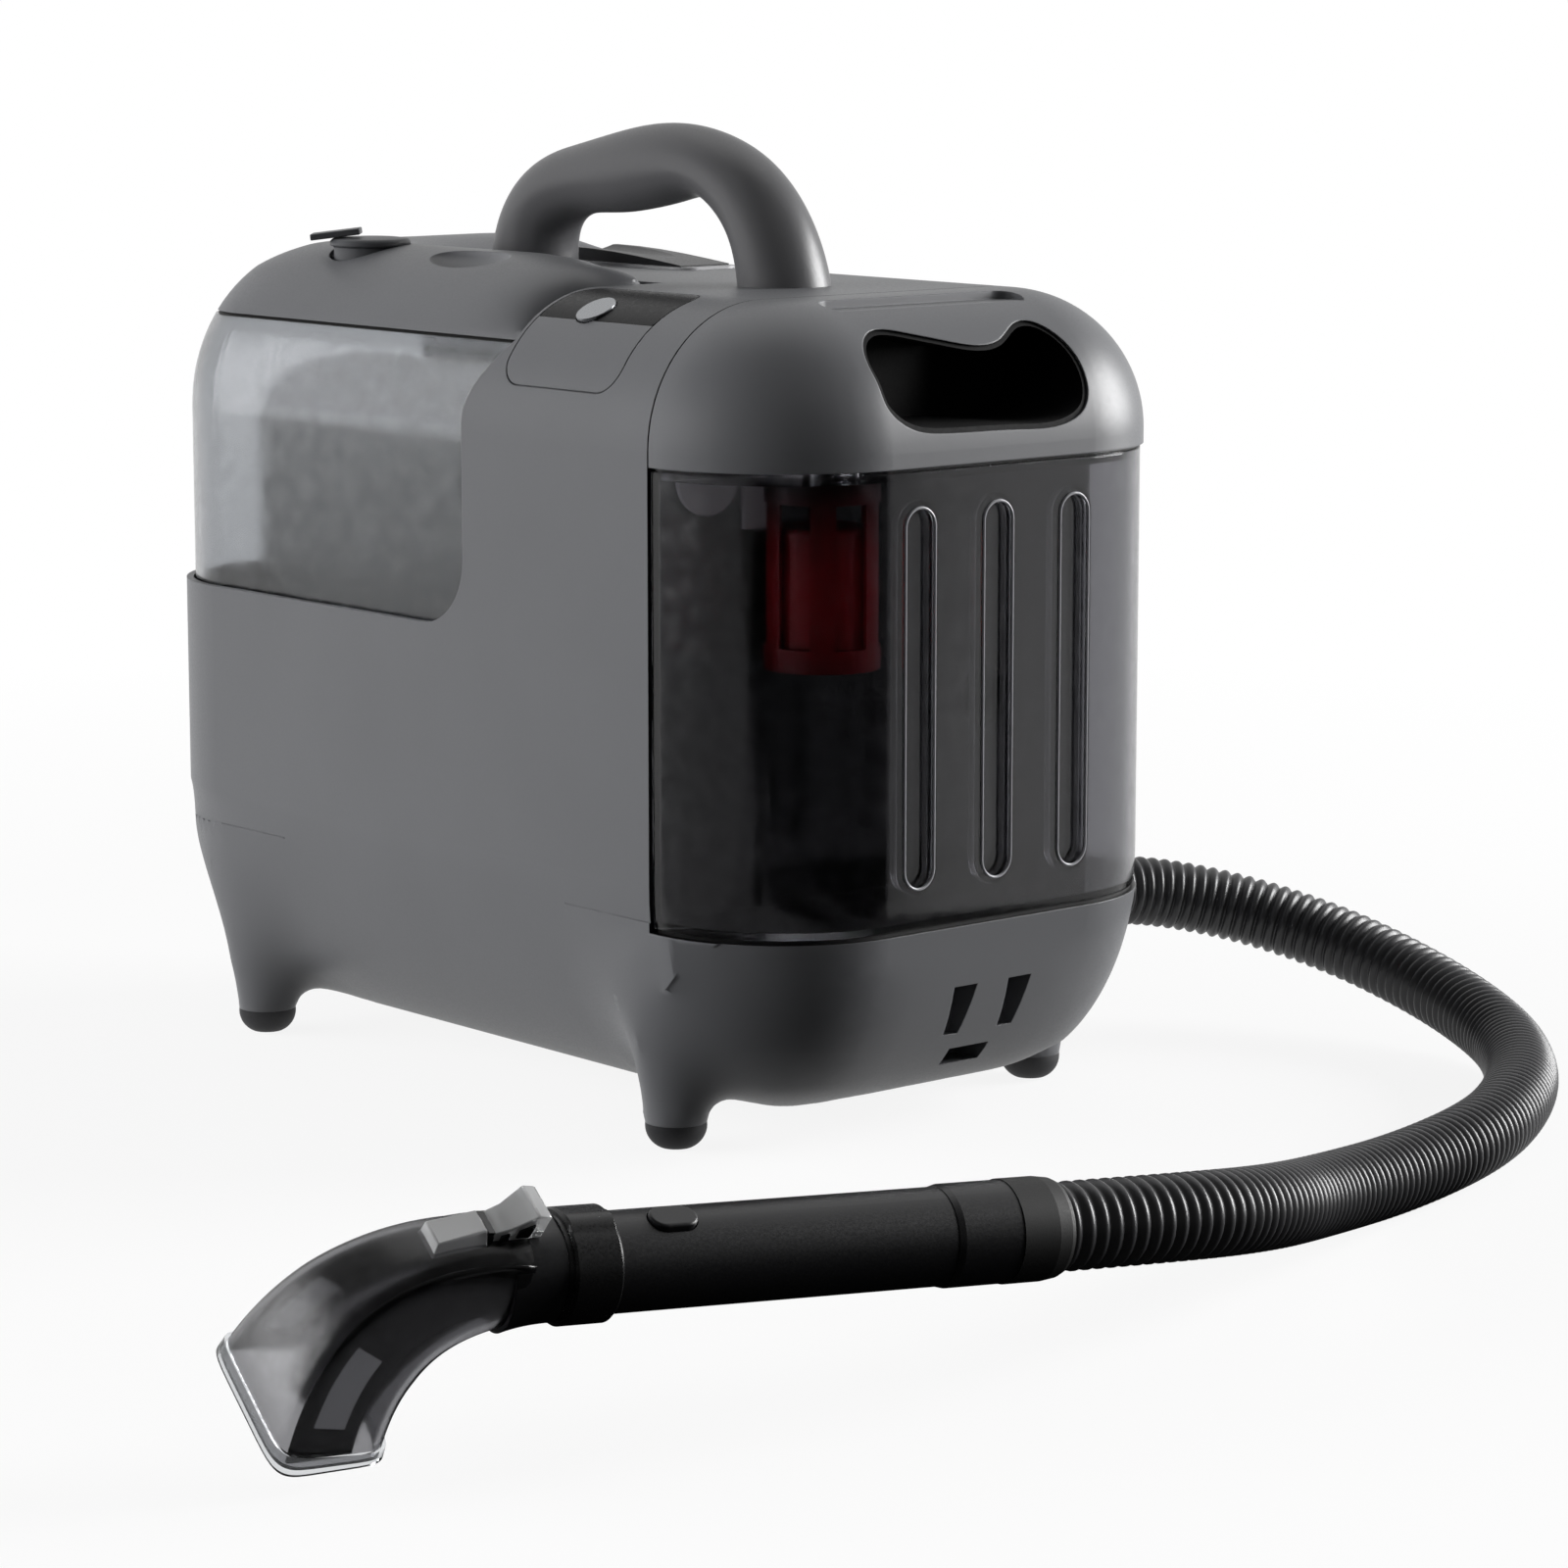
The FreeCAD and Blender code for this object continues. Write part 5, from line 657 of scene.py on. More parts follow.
def dome_gaps(point):
    """How far a point is from the middle of the cap's scoop, in its half sizes, and of its filler, in metres."""
    scoop = math.hypot((point.x - SCOOP_CENTRE.x) / SCOOP_HALF[0], (point.y - SCOOP_CENTRE.y) / SCOOP_HALF[1])
    return scoop, math.hypot(point.x - PLUG_CENTRE.x, point.y - PLUG_CENTRE.y)


def near_dome(point):
    """True on the tank cap's dome, away from its scoop and its filler opening."""
    scoop, filler = dome_gaps(point)
    return point.z > CAP_SEAM_HEIGHT + SEAM_MARGIN and scoop > 1.0 and filler > FILLER_RADIUS


def dome_hold(point):
    """How freely a point of the dome may move: not at all at the seam, the scoop and the filler."""
    scoop, filler = dome_gaps(point)
    seam = ramp(point.z - CAP_SEAM_HEIGHT - SEAM_MARGIN, CAP_RAMP)
    return seam * ramp(scoop - 1.0, SCOOP_RAMP) * ramp(filler - FILLER_RADIUS, CAP_RAMP)


def faces_outside(tree, vertex):
    """True for a point of the outer skin: a line from it gets away without meeting the casing."""
    start = vertex.co + vertex.normal * 0.0005
    for way in (vertex.normal, vertex.normal + Vector((0.0, 0.0, -0.7))):
        if way.length > 0.35 and tree.ray_cast(start, way.normalized(), 0.6)[0] is None:
            return True
    return False


def refine(work, inside, spacing):
    """Splits long edges until none is longer than spacing where inside(point) is true."""
    for _ in range(6):
        long = [edge for edge in work.edges if edge.calc_length() > spacing
                and inside((edge.verts[0].co + edge.verts[1].co) / 2)]
        if not long:
            break
        bmesh.ops.subdivide_edges(work, edges=long, cuts=1)
        bmesh.ops.triangulate(work, faces=[face for face in work.faces if len(face.verts) > 3])
    work.normal_update()
    work.verts.index_update()


def area_normals(points, corners, count):
    """Normals of points, with every face counted by its area."""
    flat = np.cross(points[corners[:, 1]] - points[corners[:, 0]], points[corners[:, 2]] - points[corners[:, 0]])
    normals = np.zeros((count, 3))
    for corner in range(3):
        np.add.at(normals, corners[:, corner], flat)
    return normals / np.maximum(np.linalg.norm(normals, axis=1), 1e-12)[:, None]


def relaxed(values, pairs, counts, weight, rounds):
    """Moves each value towards its neighbours' mean, by its own weight, for some rounds."""
    for _ in range(rounds):
        total = np.zeros_like(values)
        np.add.at(total, pairs[:, 0], values[pairs[:, 1]])
        np.add.at(total, pairs[:, 1], values[pairs[:, 0]])
        values = values + (total / counts - values) * (0.6 * weight)[:, None]
    return values


def cad_shading(node):
    """A way to ask for the shading normal of a CAD node at a place, on the side that faces towards a point."""
    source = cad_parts[node].data
    tree = BVHTree.FromPolygons([v.co for v in source.vertices], [p.vertices[:] for p in source.polygons])
    places = [v.co.copy() for v in source.vertices]
    corners = [n.vector.copy() for n in source.corner_normals]
    shapes = [(p.vertices[:], p.loop_indices[:]) for p in source.polygons]

    def normal_at(place, towards):
        found = tree.find_nearest(place.lerp(towards, 0.1))[2]
        vertices, loops = shapes[found]
        weights = poly_3d_calc([places[index] for index in vertices], place)
        total = Vector()
        for weight, loop in zip(weights, loops):
            total += corners[loop] * weight
        return total.normalized()

    return normal_at


def soften(work, inside, hold, sizes, normal_at):
    """Rounds the creases of the outer skin where inside(point) is true.

    Gives the softened normals there, by the points' numbers.
    """
    refine(work, inside, sizes.spacing)
    tree = BVHTree.FromBMesh(work)
    outer = {v.index for v in work.verts if inside(v.co) and faces_outside(tree, v)}
    creases = set()
    for edge in work.edges:
        if len(edge.link_faces) == 2 and edge.calc_face_angle() > CREASE_ANGLE:
            if all(v.index in outer for v in edge.verts):
                creases.update(v.index for v in edge.verts)
    points = np.array([v.co for v in work.verts])
    pairs = np.array([(e.verts[0].index, e.verts[1].index) for e in work.edges])
    corners = np.array([[v.index for v in face.verts] for face in work.faces])
    counts = np.bincount(pairs.ravel(), minlength=len(points))[:, None]
    free = np.zeros(len(points))
    weight = np.zeros(len(points))
    crease_points = points[sorted(creases)]
    for index in outer:
        gap = np.sqrt(((crease_points - points[index]) ** 2).sum(1).min())
        free[index] = hold(Vector(points[index]))
        # Full strength up to 0.6 of the reach from a crease, and none beyond 1.6 of it.
        weight[index] = ramp(1.6 - gap / sizes.reach, 1.0) * free[index]
    # Points at long edges stay, or their far neighbours would draw them away.
    lengths = np.linalg.norm(points[pairs[:, 0]] - points[pairs[:, 1]], axis=1)
    weight[np.unique(pairs[lengths > 2.5 * sizes.spacing])] = 0.0
    points = relaxed(points, pairs, counts, weight, sizes.rounds)
    for vertex, point in zip(work.verts, points):
        vertex.co = point
    work.normal_update()
    sharp = np.zeros(len(points), dtype=bool)
    for edge in work.edges:
        if len(edge.link_faces) == 2 and edge.calc_face_angle() > SHARP_ANGLE:
            sharp[[v.index for v in edge.verts]] = True
    # Points on sharp edges keep the CAD node's two normals and pass nothing on.
    pairs = pairs[~sharp[pairs].any(axis=1)]
    counts = np.bincount(pairs.ravel(), minlength=len(points))
    free[counts == 0] = 0.0
    start = area_normals(points, corners, len(points))
    # Where no point moved, the CAD node's own shading is the start and the border.
    for vertex in work.verts:
        if weight[vertex.index] == 0.0 and not sharp[vertex.index] and vertex.link_faces:
            start[vertex.index] = normal_at(vertex.co, vertex.link_faces[0].calc_center_median())
    normals = relaxed(start, pairs, np.maximum(counts, 1)[:, None], free, sizes.shade_rounds)
    return {index: Vector(normals[index]).normalized() for index in outer if free[index] > 0.0}


def softened_copy(name, material, node, body, inside, hold):
    """A piece that stands for a CAD node, rounded where inside(point) is true, with the node's shading elsewhere."""
    work = joined_copy(node)
    normal_at = cad_shading(node)
    own = soften(work, inside, hold, settings().casing, normal_at)
    piece = piece_of(name, work, material, 180.0)
    mesh = piece.data
    result = []
    for polygon in mesh.polygons:
        for index in polygon.loop_indices:
            vertex = mesh.loops[index].vertex_index
            normal = own.get(vertex)
            if normal is None or normal.dot(polygon.normal) < 0.8:
                normal = normal_at(mesh.vertices[vertex].co, polygon.center)
                if normal.dot(polygon.normal) < 0.5:
                    normal = polygon.normal
            result.append(normal)
    mesh.normals_split_custom_set(result)
    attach(piece, body)
    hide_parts(node)
    return piece


class EXTRACTOR_OT_casing(bpy.types.Operator):
    """Blend the legs softly into the casing and round the tank's cap"""

    bl_idname = "extractor.casing"
    bl_label = "Casing"

    def execute(self, context):
        # Grey ABS with a fine spark texture: even, satin, a soft edge light.
        # Painted shade turns the casing nearly black in the bay behind and under the recovery tank.
        casing = surface("abs_satin_grey", "67686b", 0.4, edge=0.7, bay="030303")
        piece = softened_copy("casing_soft", casing, "main_housing", "machine", near_leg, leg_hold)
        # The same grey ABS for what clips onto the casing.
        plain = surface("abs_satin_grey_parts", "67686b", 0.4, edge=0.7)
        piece = softened_copy("cap_soft", plain, "clean_tank_cap", "clean_tank_unit", near_dome, dome_hold)
        dress(plain, "dirty_tank_lid", "control_panel")
        return {"FINISHED"}


def between(start, middle, end, share):
    """A place on the soft bend from start to end that is drawn towards middle."""
    return start * (1 - share) ** 2 + middle * (2 * share * (1 - share)) + end * share ** 2


def nozzle_place(share, height, lateral, inset=0.0):
    """A place in the nozzle: share along it, height from its low side (-1) to its top (1), lateral likewise."""
    top = between(*NOZZLE_TOP, share)
    low = between(*NOZZLE_LOW, share)
    tall = (top - low).xy.length
    height *= 1.0 - 2.0 * inset / tall
    middle = (top + low) / 2 + (top - low) / 2 * height
    return Vector((middle.x, lateral * (middle.z - inset), middle.y)) * MM


def nozzle_ring(share, inset=0.0, points=48):
    """One ring of the nozzle's wall: round at the neck, nearly square at the mouth."""
    power = 2.0 / (2.0 + 4.5 * min(share * 1.6, 1.0))
    ring = []
    for index in range(points):
        angle = math.tau * (index + 0.5) / points
        x = math.copysign(abs(math.cos(angle)) ** power, math.cos(angle))
        y = math.copysign(abs(math.sin(angle)) ** power, math.sin(angle))
        ring.append(nozzle_place(share, y, x, inset))
    return ring


def bridge(work, first, second):
    """Faces between two closed rows of points."""
    for index in range(len(first)):
        after = (index + 1) % len(first)
        work.faces.new((first[index], first[after], second[after], second[index]))


def lofted(work, rings, close_ends=True):
    """Joins rings of points by faces."""
    rows = [[work.verts.new(point) for point in ring] for ring in rings]
    for first, second in zip(rows, rows[1:]):
        bridge(work, first, second)
    if close_ends:
        work.faces.new(rows[0])
        work.faces.new(rows[-1])
    return rows


def hollow_loft(outer, inner):
    """A tube wall between two rows of rings, closed at both mouths."""
    work = bmesh.new()
    outside = lofted(work, outer, False)
    inside = lofted(work, inner, False)
    bridge(work, outside[0], inside[0])
    bridge(work, outside[-1], inside[-1])
    return work


def on_wand(work):
    """Carries a bmesh from the wand's axes to its place."""
    bmesh.ops.transform(work, matrix=wand_matrix(), verts=work.verts)
    return work


def nozzle_wall(shares, outer, inner):
    """The nozzle's wall over some shares of its length, between two insets."""
    return on_wand(hollow_loft([nozzle_ring(share, outer) for share in shares],
                               [nozzle_ring(share, inner) for share in shares]))


def side_sheets(steps, parts, inset, window=False):
    """A sheet inside each side wall of the nozzle, over some of the plates' steps and parts, with or without
    their window left open."""
    work = bmesh.new()
    for side in (-1.0, 1.0):
        rows = []
        for step in steps:
            places = [nozzle_place(step / PLATE_STEPS, PLATE_LOW + (PLATE_HIGH - PLATE_LOW) * part / PLATE_PARTS,
                                   side * PLATE_SIDE, inset) for part in parts]
            rows.append([work.verts.new(place) for place in places])
        for step, (first, second) in enumerate(zip(rows, rows[1:])):
            for part in range(len(first) - 1):
                if window and step in range(*WINDOW_STEPS) and part in range(*WINDOW_PARTS):
                    continue
                work.faces.new((first[part], first[part + 1], second[part + 1], second[part]))
    return work


def closed_between(work, first, second):
    """Faces on two outlines that face each other, and between them."""
    work.faces.new(first)
    work.faces.new(list(reversed(second)))
    bridge(work, first, second)


def wedge(work, outline, low_width, high_width):
    """A block on a closed outline of (along, height), whose width changes with height."""
    heights = [height for _, height in outline]
    low, high = min(heights), max(heights)
    sides = []
    for side in (-0.5, 0.5):
        row = []
        for along, height in outline:
            width = low_width + (high_width - low_width) * (height - low) / (high - low)
            row.append(work.verts.new(Vector((along, side * width, height)) * MM))
        sides.append(row)
    closed_between(work, *sides)


def with_edges(piece, radius, steps=2):
    """Rounds a piece's hard edges."""
    soft = piece.modifiers.new("soft_edges", "BEVEL")
    soft.width = radius
    soft.segments = steps
    soft.limit_method = "ANGLE"
    soft.angle_limit = math.radians(35.0)
    return made_plain(piece, soft)


def thickened(piece, thickness):
    """Gives a sheet its thickness."""
    thick = piece.modifiers.new("thickness", "SOLIDIFY")
    thick.thickness = thickness
    return made_plain(piece, thick)


class EXTRACTOR_OT_nozzle(bpy.types.Operator):
    """Build the fan-shaped nozzle with its side plates and its spray head"""

    bl_idname = "extractor.nozzle"
    bl_label = "Nozzle"

    def execute(self, context):
        # Dark smoked polycarbonate: glossy, one wall lets about a third of the light through.
        smoke = surface("polycarbonate_smoke", "8c8c8f", 0.2, grain=3.0, depth=0.002, mottle=0.01,
                        transmission_weight=1.0, ior=1.5)
        # Black ABS with a polished face.
        black = surface("abs_polished_black", "0c0c0d", 0.16, grain=1.5, depth=0.002, mottle=0.02)
        # Clear polycarbonate: colourless, with sharp bright edges.
        clear = surface("polycarbonate_clear", "dfe1e3", 0.06, grain=2.0, depth=0.003, mottle=0.01,
                        transmission_weight=1.0, ior=1.5)
        shell = piece_of("nozzle_shell", nozzle_wall([index / 36 for index in range(37)], 0.0, NOZZLE_WALL), smoke)
        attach(shell, "nozzle")
        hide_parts("nozzle_cover")
        lip = piece_of("nozzle_lip", nozzle_wall((0.965, 0.98, 1.0, 1.012), -0.9, -0.02), clear)
        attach(lip, "nozzle")
        work = side_sheets(range(PLATE_STEPS + 1), range(PLATE_PARTS + 1), 1.9, window=True)
        plates = thickened(piece_of("nozzle_side_plates", on_wand(work), black), 0.9 * MM)
        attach(plates, "nozzle")
        work = side_sheets(range(WINDOW_STEPS[0], WINDOW_STEPS[1] + 1), (2, 4, 6), 1.7)
        # Grey ABS in the window of each side plate: a grey patch behind the smoked wall, with a painted glow that
        # lights it up.
        pane = surface("abs_pane_grey_painted_glow", "c2c2c5", 0.4, emission_color=linear("c2c2c5"), emission_strength=0.35)
        panes = thickened(piece_of("nozzle_panes", on_wand(work), pane), 0.5 * MM)
        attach(panes, "nozzle")
        # The spray head is two blocks, each on an outline of (along, height) in mm.
        work = bmesh.new()
        wedge(work, [(206.5, 10.5), (205.5, 16.0), (191.0, 19.3), (190.0, 13.5)], 12.0, 9.0)
        wedge(work, [(189.2, 14.0), (189.0, 18.0), (184.0, 20.0), (177.5, 25.0), (173.5, 24.5), (173.5, 15.0)],
              8.0, 14.0)
        # Half-clear polycarbonate in milky white: a painted highlight that stands in for the bright reflections of
        # the clear head.
        milky = surface("polycarbonate_milky_painted_highlight", "fafbfc", 0.06, grain=2.0, depth=0.003, mottle=0.01,
                        transmission_weight=0.6, ior=1.5, coat_weight=1.0)
        head = with_edges(piece_of("spray_head", on_wand(work), milky), 0.5 * MM)
        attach(head, "nozzle")
        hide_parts("spray_tip")
        # Three black slots in the head.
        work = bmesh.new()
        wedge(work, [(190.6, 12.5), (190.6, 18.6), (188.6, 18.4), (188.6, 12.5)], 9.0, 9.6)
        wedge(work, [(186.6, 15.2), (186.6, 17.4), (184.4, 18.2), (184.4, 15.2)], 10.6, 11.6)
        wedge(work, [(181.8, 16.0), (181.8, 19.2), (177.8, 21.6), (177.8, 16.0)], 10.2, 13.6)
        slots = piece_of("spray_slots", on_wand(work), black)
        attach(slots, "nozzle")
        work = bmesh.new()
        # The collar's section as (along, radius), in mm.
        outline = [(149.9, 14.4), (149.9, 16.2), (150.6, 16.8), (164.2, 16.8), (165.0, 16.2), (165.0, 15.6),
                   (166.4, 15.6), (166.4, 12.6), (149.9, 12.6)]
        rings = []
        for index in range(96):
            angle = math.tau * index / 96
            # Two flat lugs stand out from the widest part, one on each side.
            lug = 0.9 * max(math.cos(2.0 * angle) - 0.86, 0.0) / 0.14
            wide = [(along, radius + (lug if radius > 16.7 else 0.0)) for along, radius in outline]
            rings.append([Vector((along, radius * math.sin(angle), radius * math.cos(angle))) * MM
                          for along, radius in wide])
        lofted(work, rings + [rings[0]], False)
        bmesh.ops.remove_doubles(work, verts=work.verts, dist=1e-7)
        # Black ABS, a little glossier than the tube: narrow highlights round the ring.
        satin = surface("abs_collar_black", "161617", 0.3, edge=0.4)
        collar = piece_of("collar_ring", on_wand(work), satin)
        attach(collar, "collar")
        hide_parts("nozzle_collar")
        return {"FINISHED"}


def finger_wave(place):
    """How far the handle's underside is raised at a place along it, both in mm."""
    rise = 2.4 * math.exp(-((place + 42.0) / 15.0) ** 2)
    fall = 1.8 * math.exp(-((place - 8.0) / 22.0) ** 2)
    return rise - fall


class EXTRACTOR_OT_handle(bpy.types.Operator):
    """Give the carry handle its finger waves"""

    bl_idname = "extractor.handle"
    bl_label = "Handle"

    def execute(self, context):
        work = joined_copy("carry_handle")
        refine(work, lambda point: abs(point.y + 0.01) < 0.07 and point.z > HANDLE_UNDER - 0.012, 0.004)
        for vertex in work.verts:
            down = ramp(-vertex.normal.z, 1.0)
            if vertex.co.z > HANDLE_UNDER - 0.008:
                vertex.co.z += down * finger_wave(vertex.co.y / MM) * MM
        # Charcoal polypropylene: satin, with a broad soft highlight along the grip.
        charcoal = surface("pp_satin_charcoal", "565658", 0.36)
        handle = piece_of("handle_waved", work, charcoal, 40.0)
        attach(handle, "machine")
        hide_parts("carry_handle")
        return {"FINISHED"}


class EXTRACTOR_OT_plug(bpy.types.Operator):
    """Build the filler's plug with its pull tab"""

    bl_idname = "extractor.plug"
    bl_label = "Filler plug"

    def execute(self, context):
        work = bmesh.new()
        # The plug's section as (radius, height), in mm.
        outline = [(0.0, 309.4), (11.0, 309.6), (14.4, 309.2), (15.4, 308.2), (15.4, 306.6), (13.9, 306.2),
                   (13.9, 297.0), (12.6, 297.0), (12.6, 305.0), (0.0, 305.0)]
        rings = []
        for radius, height in outline:
            rings.append([Vector((PLUG_CENTRE.x / MM + max(radius, 0.05) * math.cos(math.tau * index / 72),
                                  PLUG_CENTRE.y / MM + max(radius, 0.05) * math.sin(math.tau * index / 72),
                                  height)) * MM for index in range(72)])
        lofted(work, rings)
        # The pull tab: a thin plate that rises away from the plug.
        tab = bmesh.new()
        bmesh.ops.create_cube(tab, size=1.0)
        bmesh.ops.scale(tab, vec=(19.0 * MM, 12.5 * MM, 2.4 * MM), verts=tab.verts)
        bmesh.ops.rotate(tab, matrix=Matrix.Rotation(math.radians(7.0), 3, "Y"), verts=tab.verts)
        bmesh.ops.rotate(tab, matrix=Matrix.Rotation(TAB_TURN, 3, "Z"), verts=tab.verts)
        bmesh.ops.translate(tab, vec=PLUG_CENTRE + Vector((math.cos(TAB_TURN) * 13.0, math.sin(TAB_TURN) * 13.0,
                                                           3.9)) * MM, verts=tab.verts)
        mesh = bpy.data.meshes.new("tab")
        tab.to_mesh(mesh)
        tab.free()
        work.from_mesh(mesh)
        bpy.data.meshes.remove(mesh)
        # Dark soft rubber with a dull sheen.
        rubber = surface("tpe_plug_grey", "4e4f52", 0.45, edge=0.4)
        plug = with_edges(piece_of("filler_plug_tabbed", work, rubber), 0.4 * MM)
        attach(plug, "filler_flap")
        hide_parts("filler_plug")
        return {"FINISHED"}


def bead_rig():
    """A round bead swept along closed lines."""
    tree, given = new_rig("bead", [("Radius", "NodeSocketFloat"), ("Sides", "NodeSocketInt"),
                                   ("Material", "NodeSocketMaterial")])
    line = add(tree, "GeometryNodeMeshToCurve", {"Mesh": given["Geometry"]})
    section = add(tree, "GeometryNodeCurvePrimitiveCircle", {
        "Resolution": given["Sides"], "Radius": given["Radius"]})
    tube = add(tree, "GeometryNodeCurveToMesh", {"Curve": line.outputs[0], "Profile Curve": section.outputs[0]})
    smooth = add(tree, "GeometryNodeSetShadeSmooth", {"Geometry": tube.outputs[0]})
    end_rig(tree, smooth.outputs[0], given["Material"])
    return tree


def groove_lines(name, places, front, low, high, half_width):
    """Closed upright loops with round ends, one round each groove's mouth."""
    work = bmesh.new()
    for place in places:
        loop = []
        for middle, start in ((high - half_width, 0.0), (low + half_width, math.pi)):
            for index in range(33):
                angle = start + math.pi * index / 32
                loop.append((place + half_width * math.cos(angle), middle + half_width * math.sin(angle)))
        verts = [work.verts.new(Vector((x, front, z)) * MM) for x, z in loop]
        for first, second in zip(verts, verts[1:] + verts[:1]):
            work.edges.new((first, second))
    mesh = bpy.data.meshes.new(name)
    work.to_mesh(mesh)
    work.free()
    return mesh


class EXTRACTOR_OT_tanks(bpy.types.Operator):
    """Add the beads round the recovery tank's grooves and the clean tank's inner wall"""

    bl_idname = "extractor.tanks"
    bl_label = "Tanks"

    def execute(self, context):
        sizes = settings().tanks
        # The beads lie 0.15 mm in front of the tank's wall.
        lines = groove_lines("groove_beads", [GROOVE_MIDDLE + step * GROOVE_STEP for step in (-1, 0, 1)],
                             TANK_FRONT - 0.15, GROOVE_FOOT, GROOVE_HEAD, sizes.bead_width / MM / 2)
        # The rounded rims of the grooves: polished, so that they catch a bright line, and pale grey on the dark
        # smoked tank: a painted highlight.
        polished = surface("san_rim_painted_highlight", "a2a2a7", 0.2, grain=3.0, depth=0.001)
        beads = run_rig(bead_rig(), "groove_beads", lines, {
            "Radius": sizes.bead, "Sides": 12, "Material": polished})
        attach(beads, "recovery_tank_unit")
        work = bmesh.new()
        profile = [(INNER_WALL_FRONT, INNER_WALL_FOOT), (INNER_WALL_REAR, INNER_WALL_FOOT)] + INNER_WALL_CREST
        closed_between(work, *([work.verts.new(Vector((x, y, z)) * MM) for y, z in profile]
                               for x in INNER_WALL_FACES))
        # Milky grey inner wall, seen softly through the smoked side.
        milky = surface("san_inner_wall", "505255", 0.5)
        wall = with_edges(piece_of("tank_inner_wall", work, milky), 0.4 * MM)
        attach(wall, "clean_tank_unit")
        return {"FINISHED"}


def sprung(node, body, way):
    """A steel copy of a CAD spring, carried by its body; way is not used."""
    piece = piece_of(node + "_coil", joined_copy(node), bpy.data.materials["steel_zinc"])
    way = Vector(way).normalized()
    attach(piece, body)
    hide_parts(node)
    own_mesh(piece)


class EXTRACTOR_OT_springs(bpy.types.Operator):
    """Give the three springs of the button, the valve and the trigger their steel copies"""

    bl_idname = "extractor.springs"
    bl_label = "Springs"

    def execute(self, context):
        sprung("button_spring", "machine", (0.47, 0.0, -0.882666))
        sprung("valve_spring", "clean_tank_unit", (0.0, 0.0, 1.0))
        sprung("trigger_spring", "wand", (0.042695, 0.454837, -0.889551))
        return {"FINISHED"}


class EXTRACTOR_OT_finishes(bpy.types.Operator):
    """Give every CAD node its finish"""

    bl_idname = "extractor.finishes"
    bl_label = "Finishes"

    def execute(self, context):
        # Black ABS, satin.
        black = surface("abs_satin_black", "1c1c1e", 0.36, edge=0.4)
        dress(black, "base_plate", "wand_cradle", "hose_port", "exhaust_grille", "power_inlet",
              "wand_sleeve", "wand_tube", "spray_trigger", "suction_duct", "board_posts", "nozzle_neck")
        # Black ABS with a polished face: deep black, with a weak reflection.
        gloss = surface("abs_gloss_black", "0c0c0d", 0.3, grain=1.5, depth=0.001, mottle=0.02,
                        specular_ior_level=0.12)
        dress(gloss, "control_strip")
        # Black ABS with a rough spark texture, coloured nearly pure black: painted shade inside the grip opening.
        deep = surface("abs_rough_black_painted_shade", "060607", 0.7, grain=1.0, depth=0.03, specular_ior_level=0.2)
        dress(deep, "grip_liner")
        # EPDM rubber: dull and nearly black.
        rubber = surface("epdm_black", "171717", 0.6, grain=0.5, depth=0.02)
        dress(rubber, "port_cuff", "hose_cuff", "duct_seals", "tank_gasket", "cap_gasket", "motor_mount",
              "valve_seat")
        # Dark grey thermoplastic rubber on the feet: dull, a little lighter than the hose cuffs.
        soft_grey = surface("tpe_foot_grey", "2b2b2d", 0.6, grain=0.5, depth=0.02)
        dress(soft_grey, "foot_pads")
        # Light grey acetal: a pale, smooth pad.
        pale = surface("pom_light_grey", "b4b4b6", 0.35)
        dress(pale, "cradle_pad")
        # Milky tabs, with a faint painted glow so that they stand out in the dark tank.
        milky = surface("pp_milky_tabs_painted_glow", "dcdade", 0.4, emission_color=linear("dcd4da"), emission_strength=0.06)
        dress(milky, "baffle_tabs")
        # Lightly smoked SAN: clear, with a grey cast that deepens with each wall.
        smoke = surface("san_clear_smoke", "c2c4c7", 0.12, grain=6.0, depth=0.0008, mottle=0.01,
                        transmission_weight=1.0, ior=1.45)
        dress(smoke, "clean_tank", "filler_neck")
        # Darkly smoked SAN: nearly black inside, over the painted shade of the casing's bay, with a soft sheen
        # outside.
        dark = surface("san_dark_smoke", "a0a0a4", 0.1, grain=6.0, depth=0.0008, mottle=0.01, edge=0.9,
                       transmission_weight=1.0, ior=1.5)
        dress(dark, "dirty_tank", "lid_plate")
        dress(bpy.data.materials["polycarbonate_clear"], "supply_tube", "delivery_tube")
        # Red polypropylene, with a painted pool of light in the middle of the float and painted shade round it.
        red = painted_light_pool("pp_red_painted_light", "d8001c", "1a0003", Vector((-0.046, -0.172, 0.198)), 0.05)
        dress(red, "shutoff_float", "float_cage")
        # Satin chrome on ABS: a soft metallic button.
        metal = surface("abs_satin_chrome", "a9abae", 0.3, metallic=1.0)
        dress(metal, "power_button")
        # Plain grey polypropylene of the parts inside.
        inner = surface("pp_inner_grey", "55575a", 0.5)
        dress(inner, "exhaust_duct", "fan_housing", "vacuum_duct", "inlet_duct", "pump", "pump_mount",
              "power_switch", "valve_body", "valve_poppet", "impeller")
        dress(bpy.data.materials["steel_zinc"], "motor_shaft", "suction_motor")
        # Glass-fibre board under green solder resist: smooth and slightly shiny.
        board = surface("fr4_green", "1f5a37", 0.35)
        dress(board, "circuit_board")
        return {"FINISHED"}


def area_light(name, power, place, aim, width, height):
    """A softbox that faces a point. The camera doesn't see the box itself."""
    data = bpy.data.lights.new(name, "AREA")
    data.energy = power
    data.shape = "RECTANGLE"
    data.size = width
    data.size_y = height
    lamp = bpy.data.objects.new(name, data)
    bpy.context.scene.collection.objects.link(lamp)
    lamp.location = place
    lamp.rotation_euler = (Vector(aim) - Vector(place)).to_track_quat("-Z", "Y").to_euler()
    lamp.visible_camera = False
    return lamp


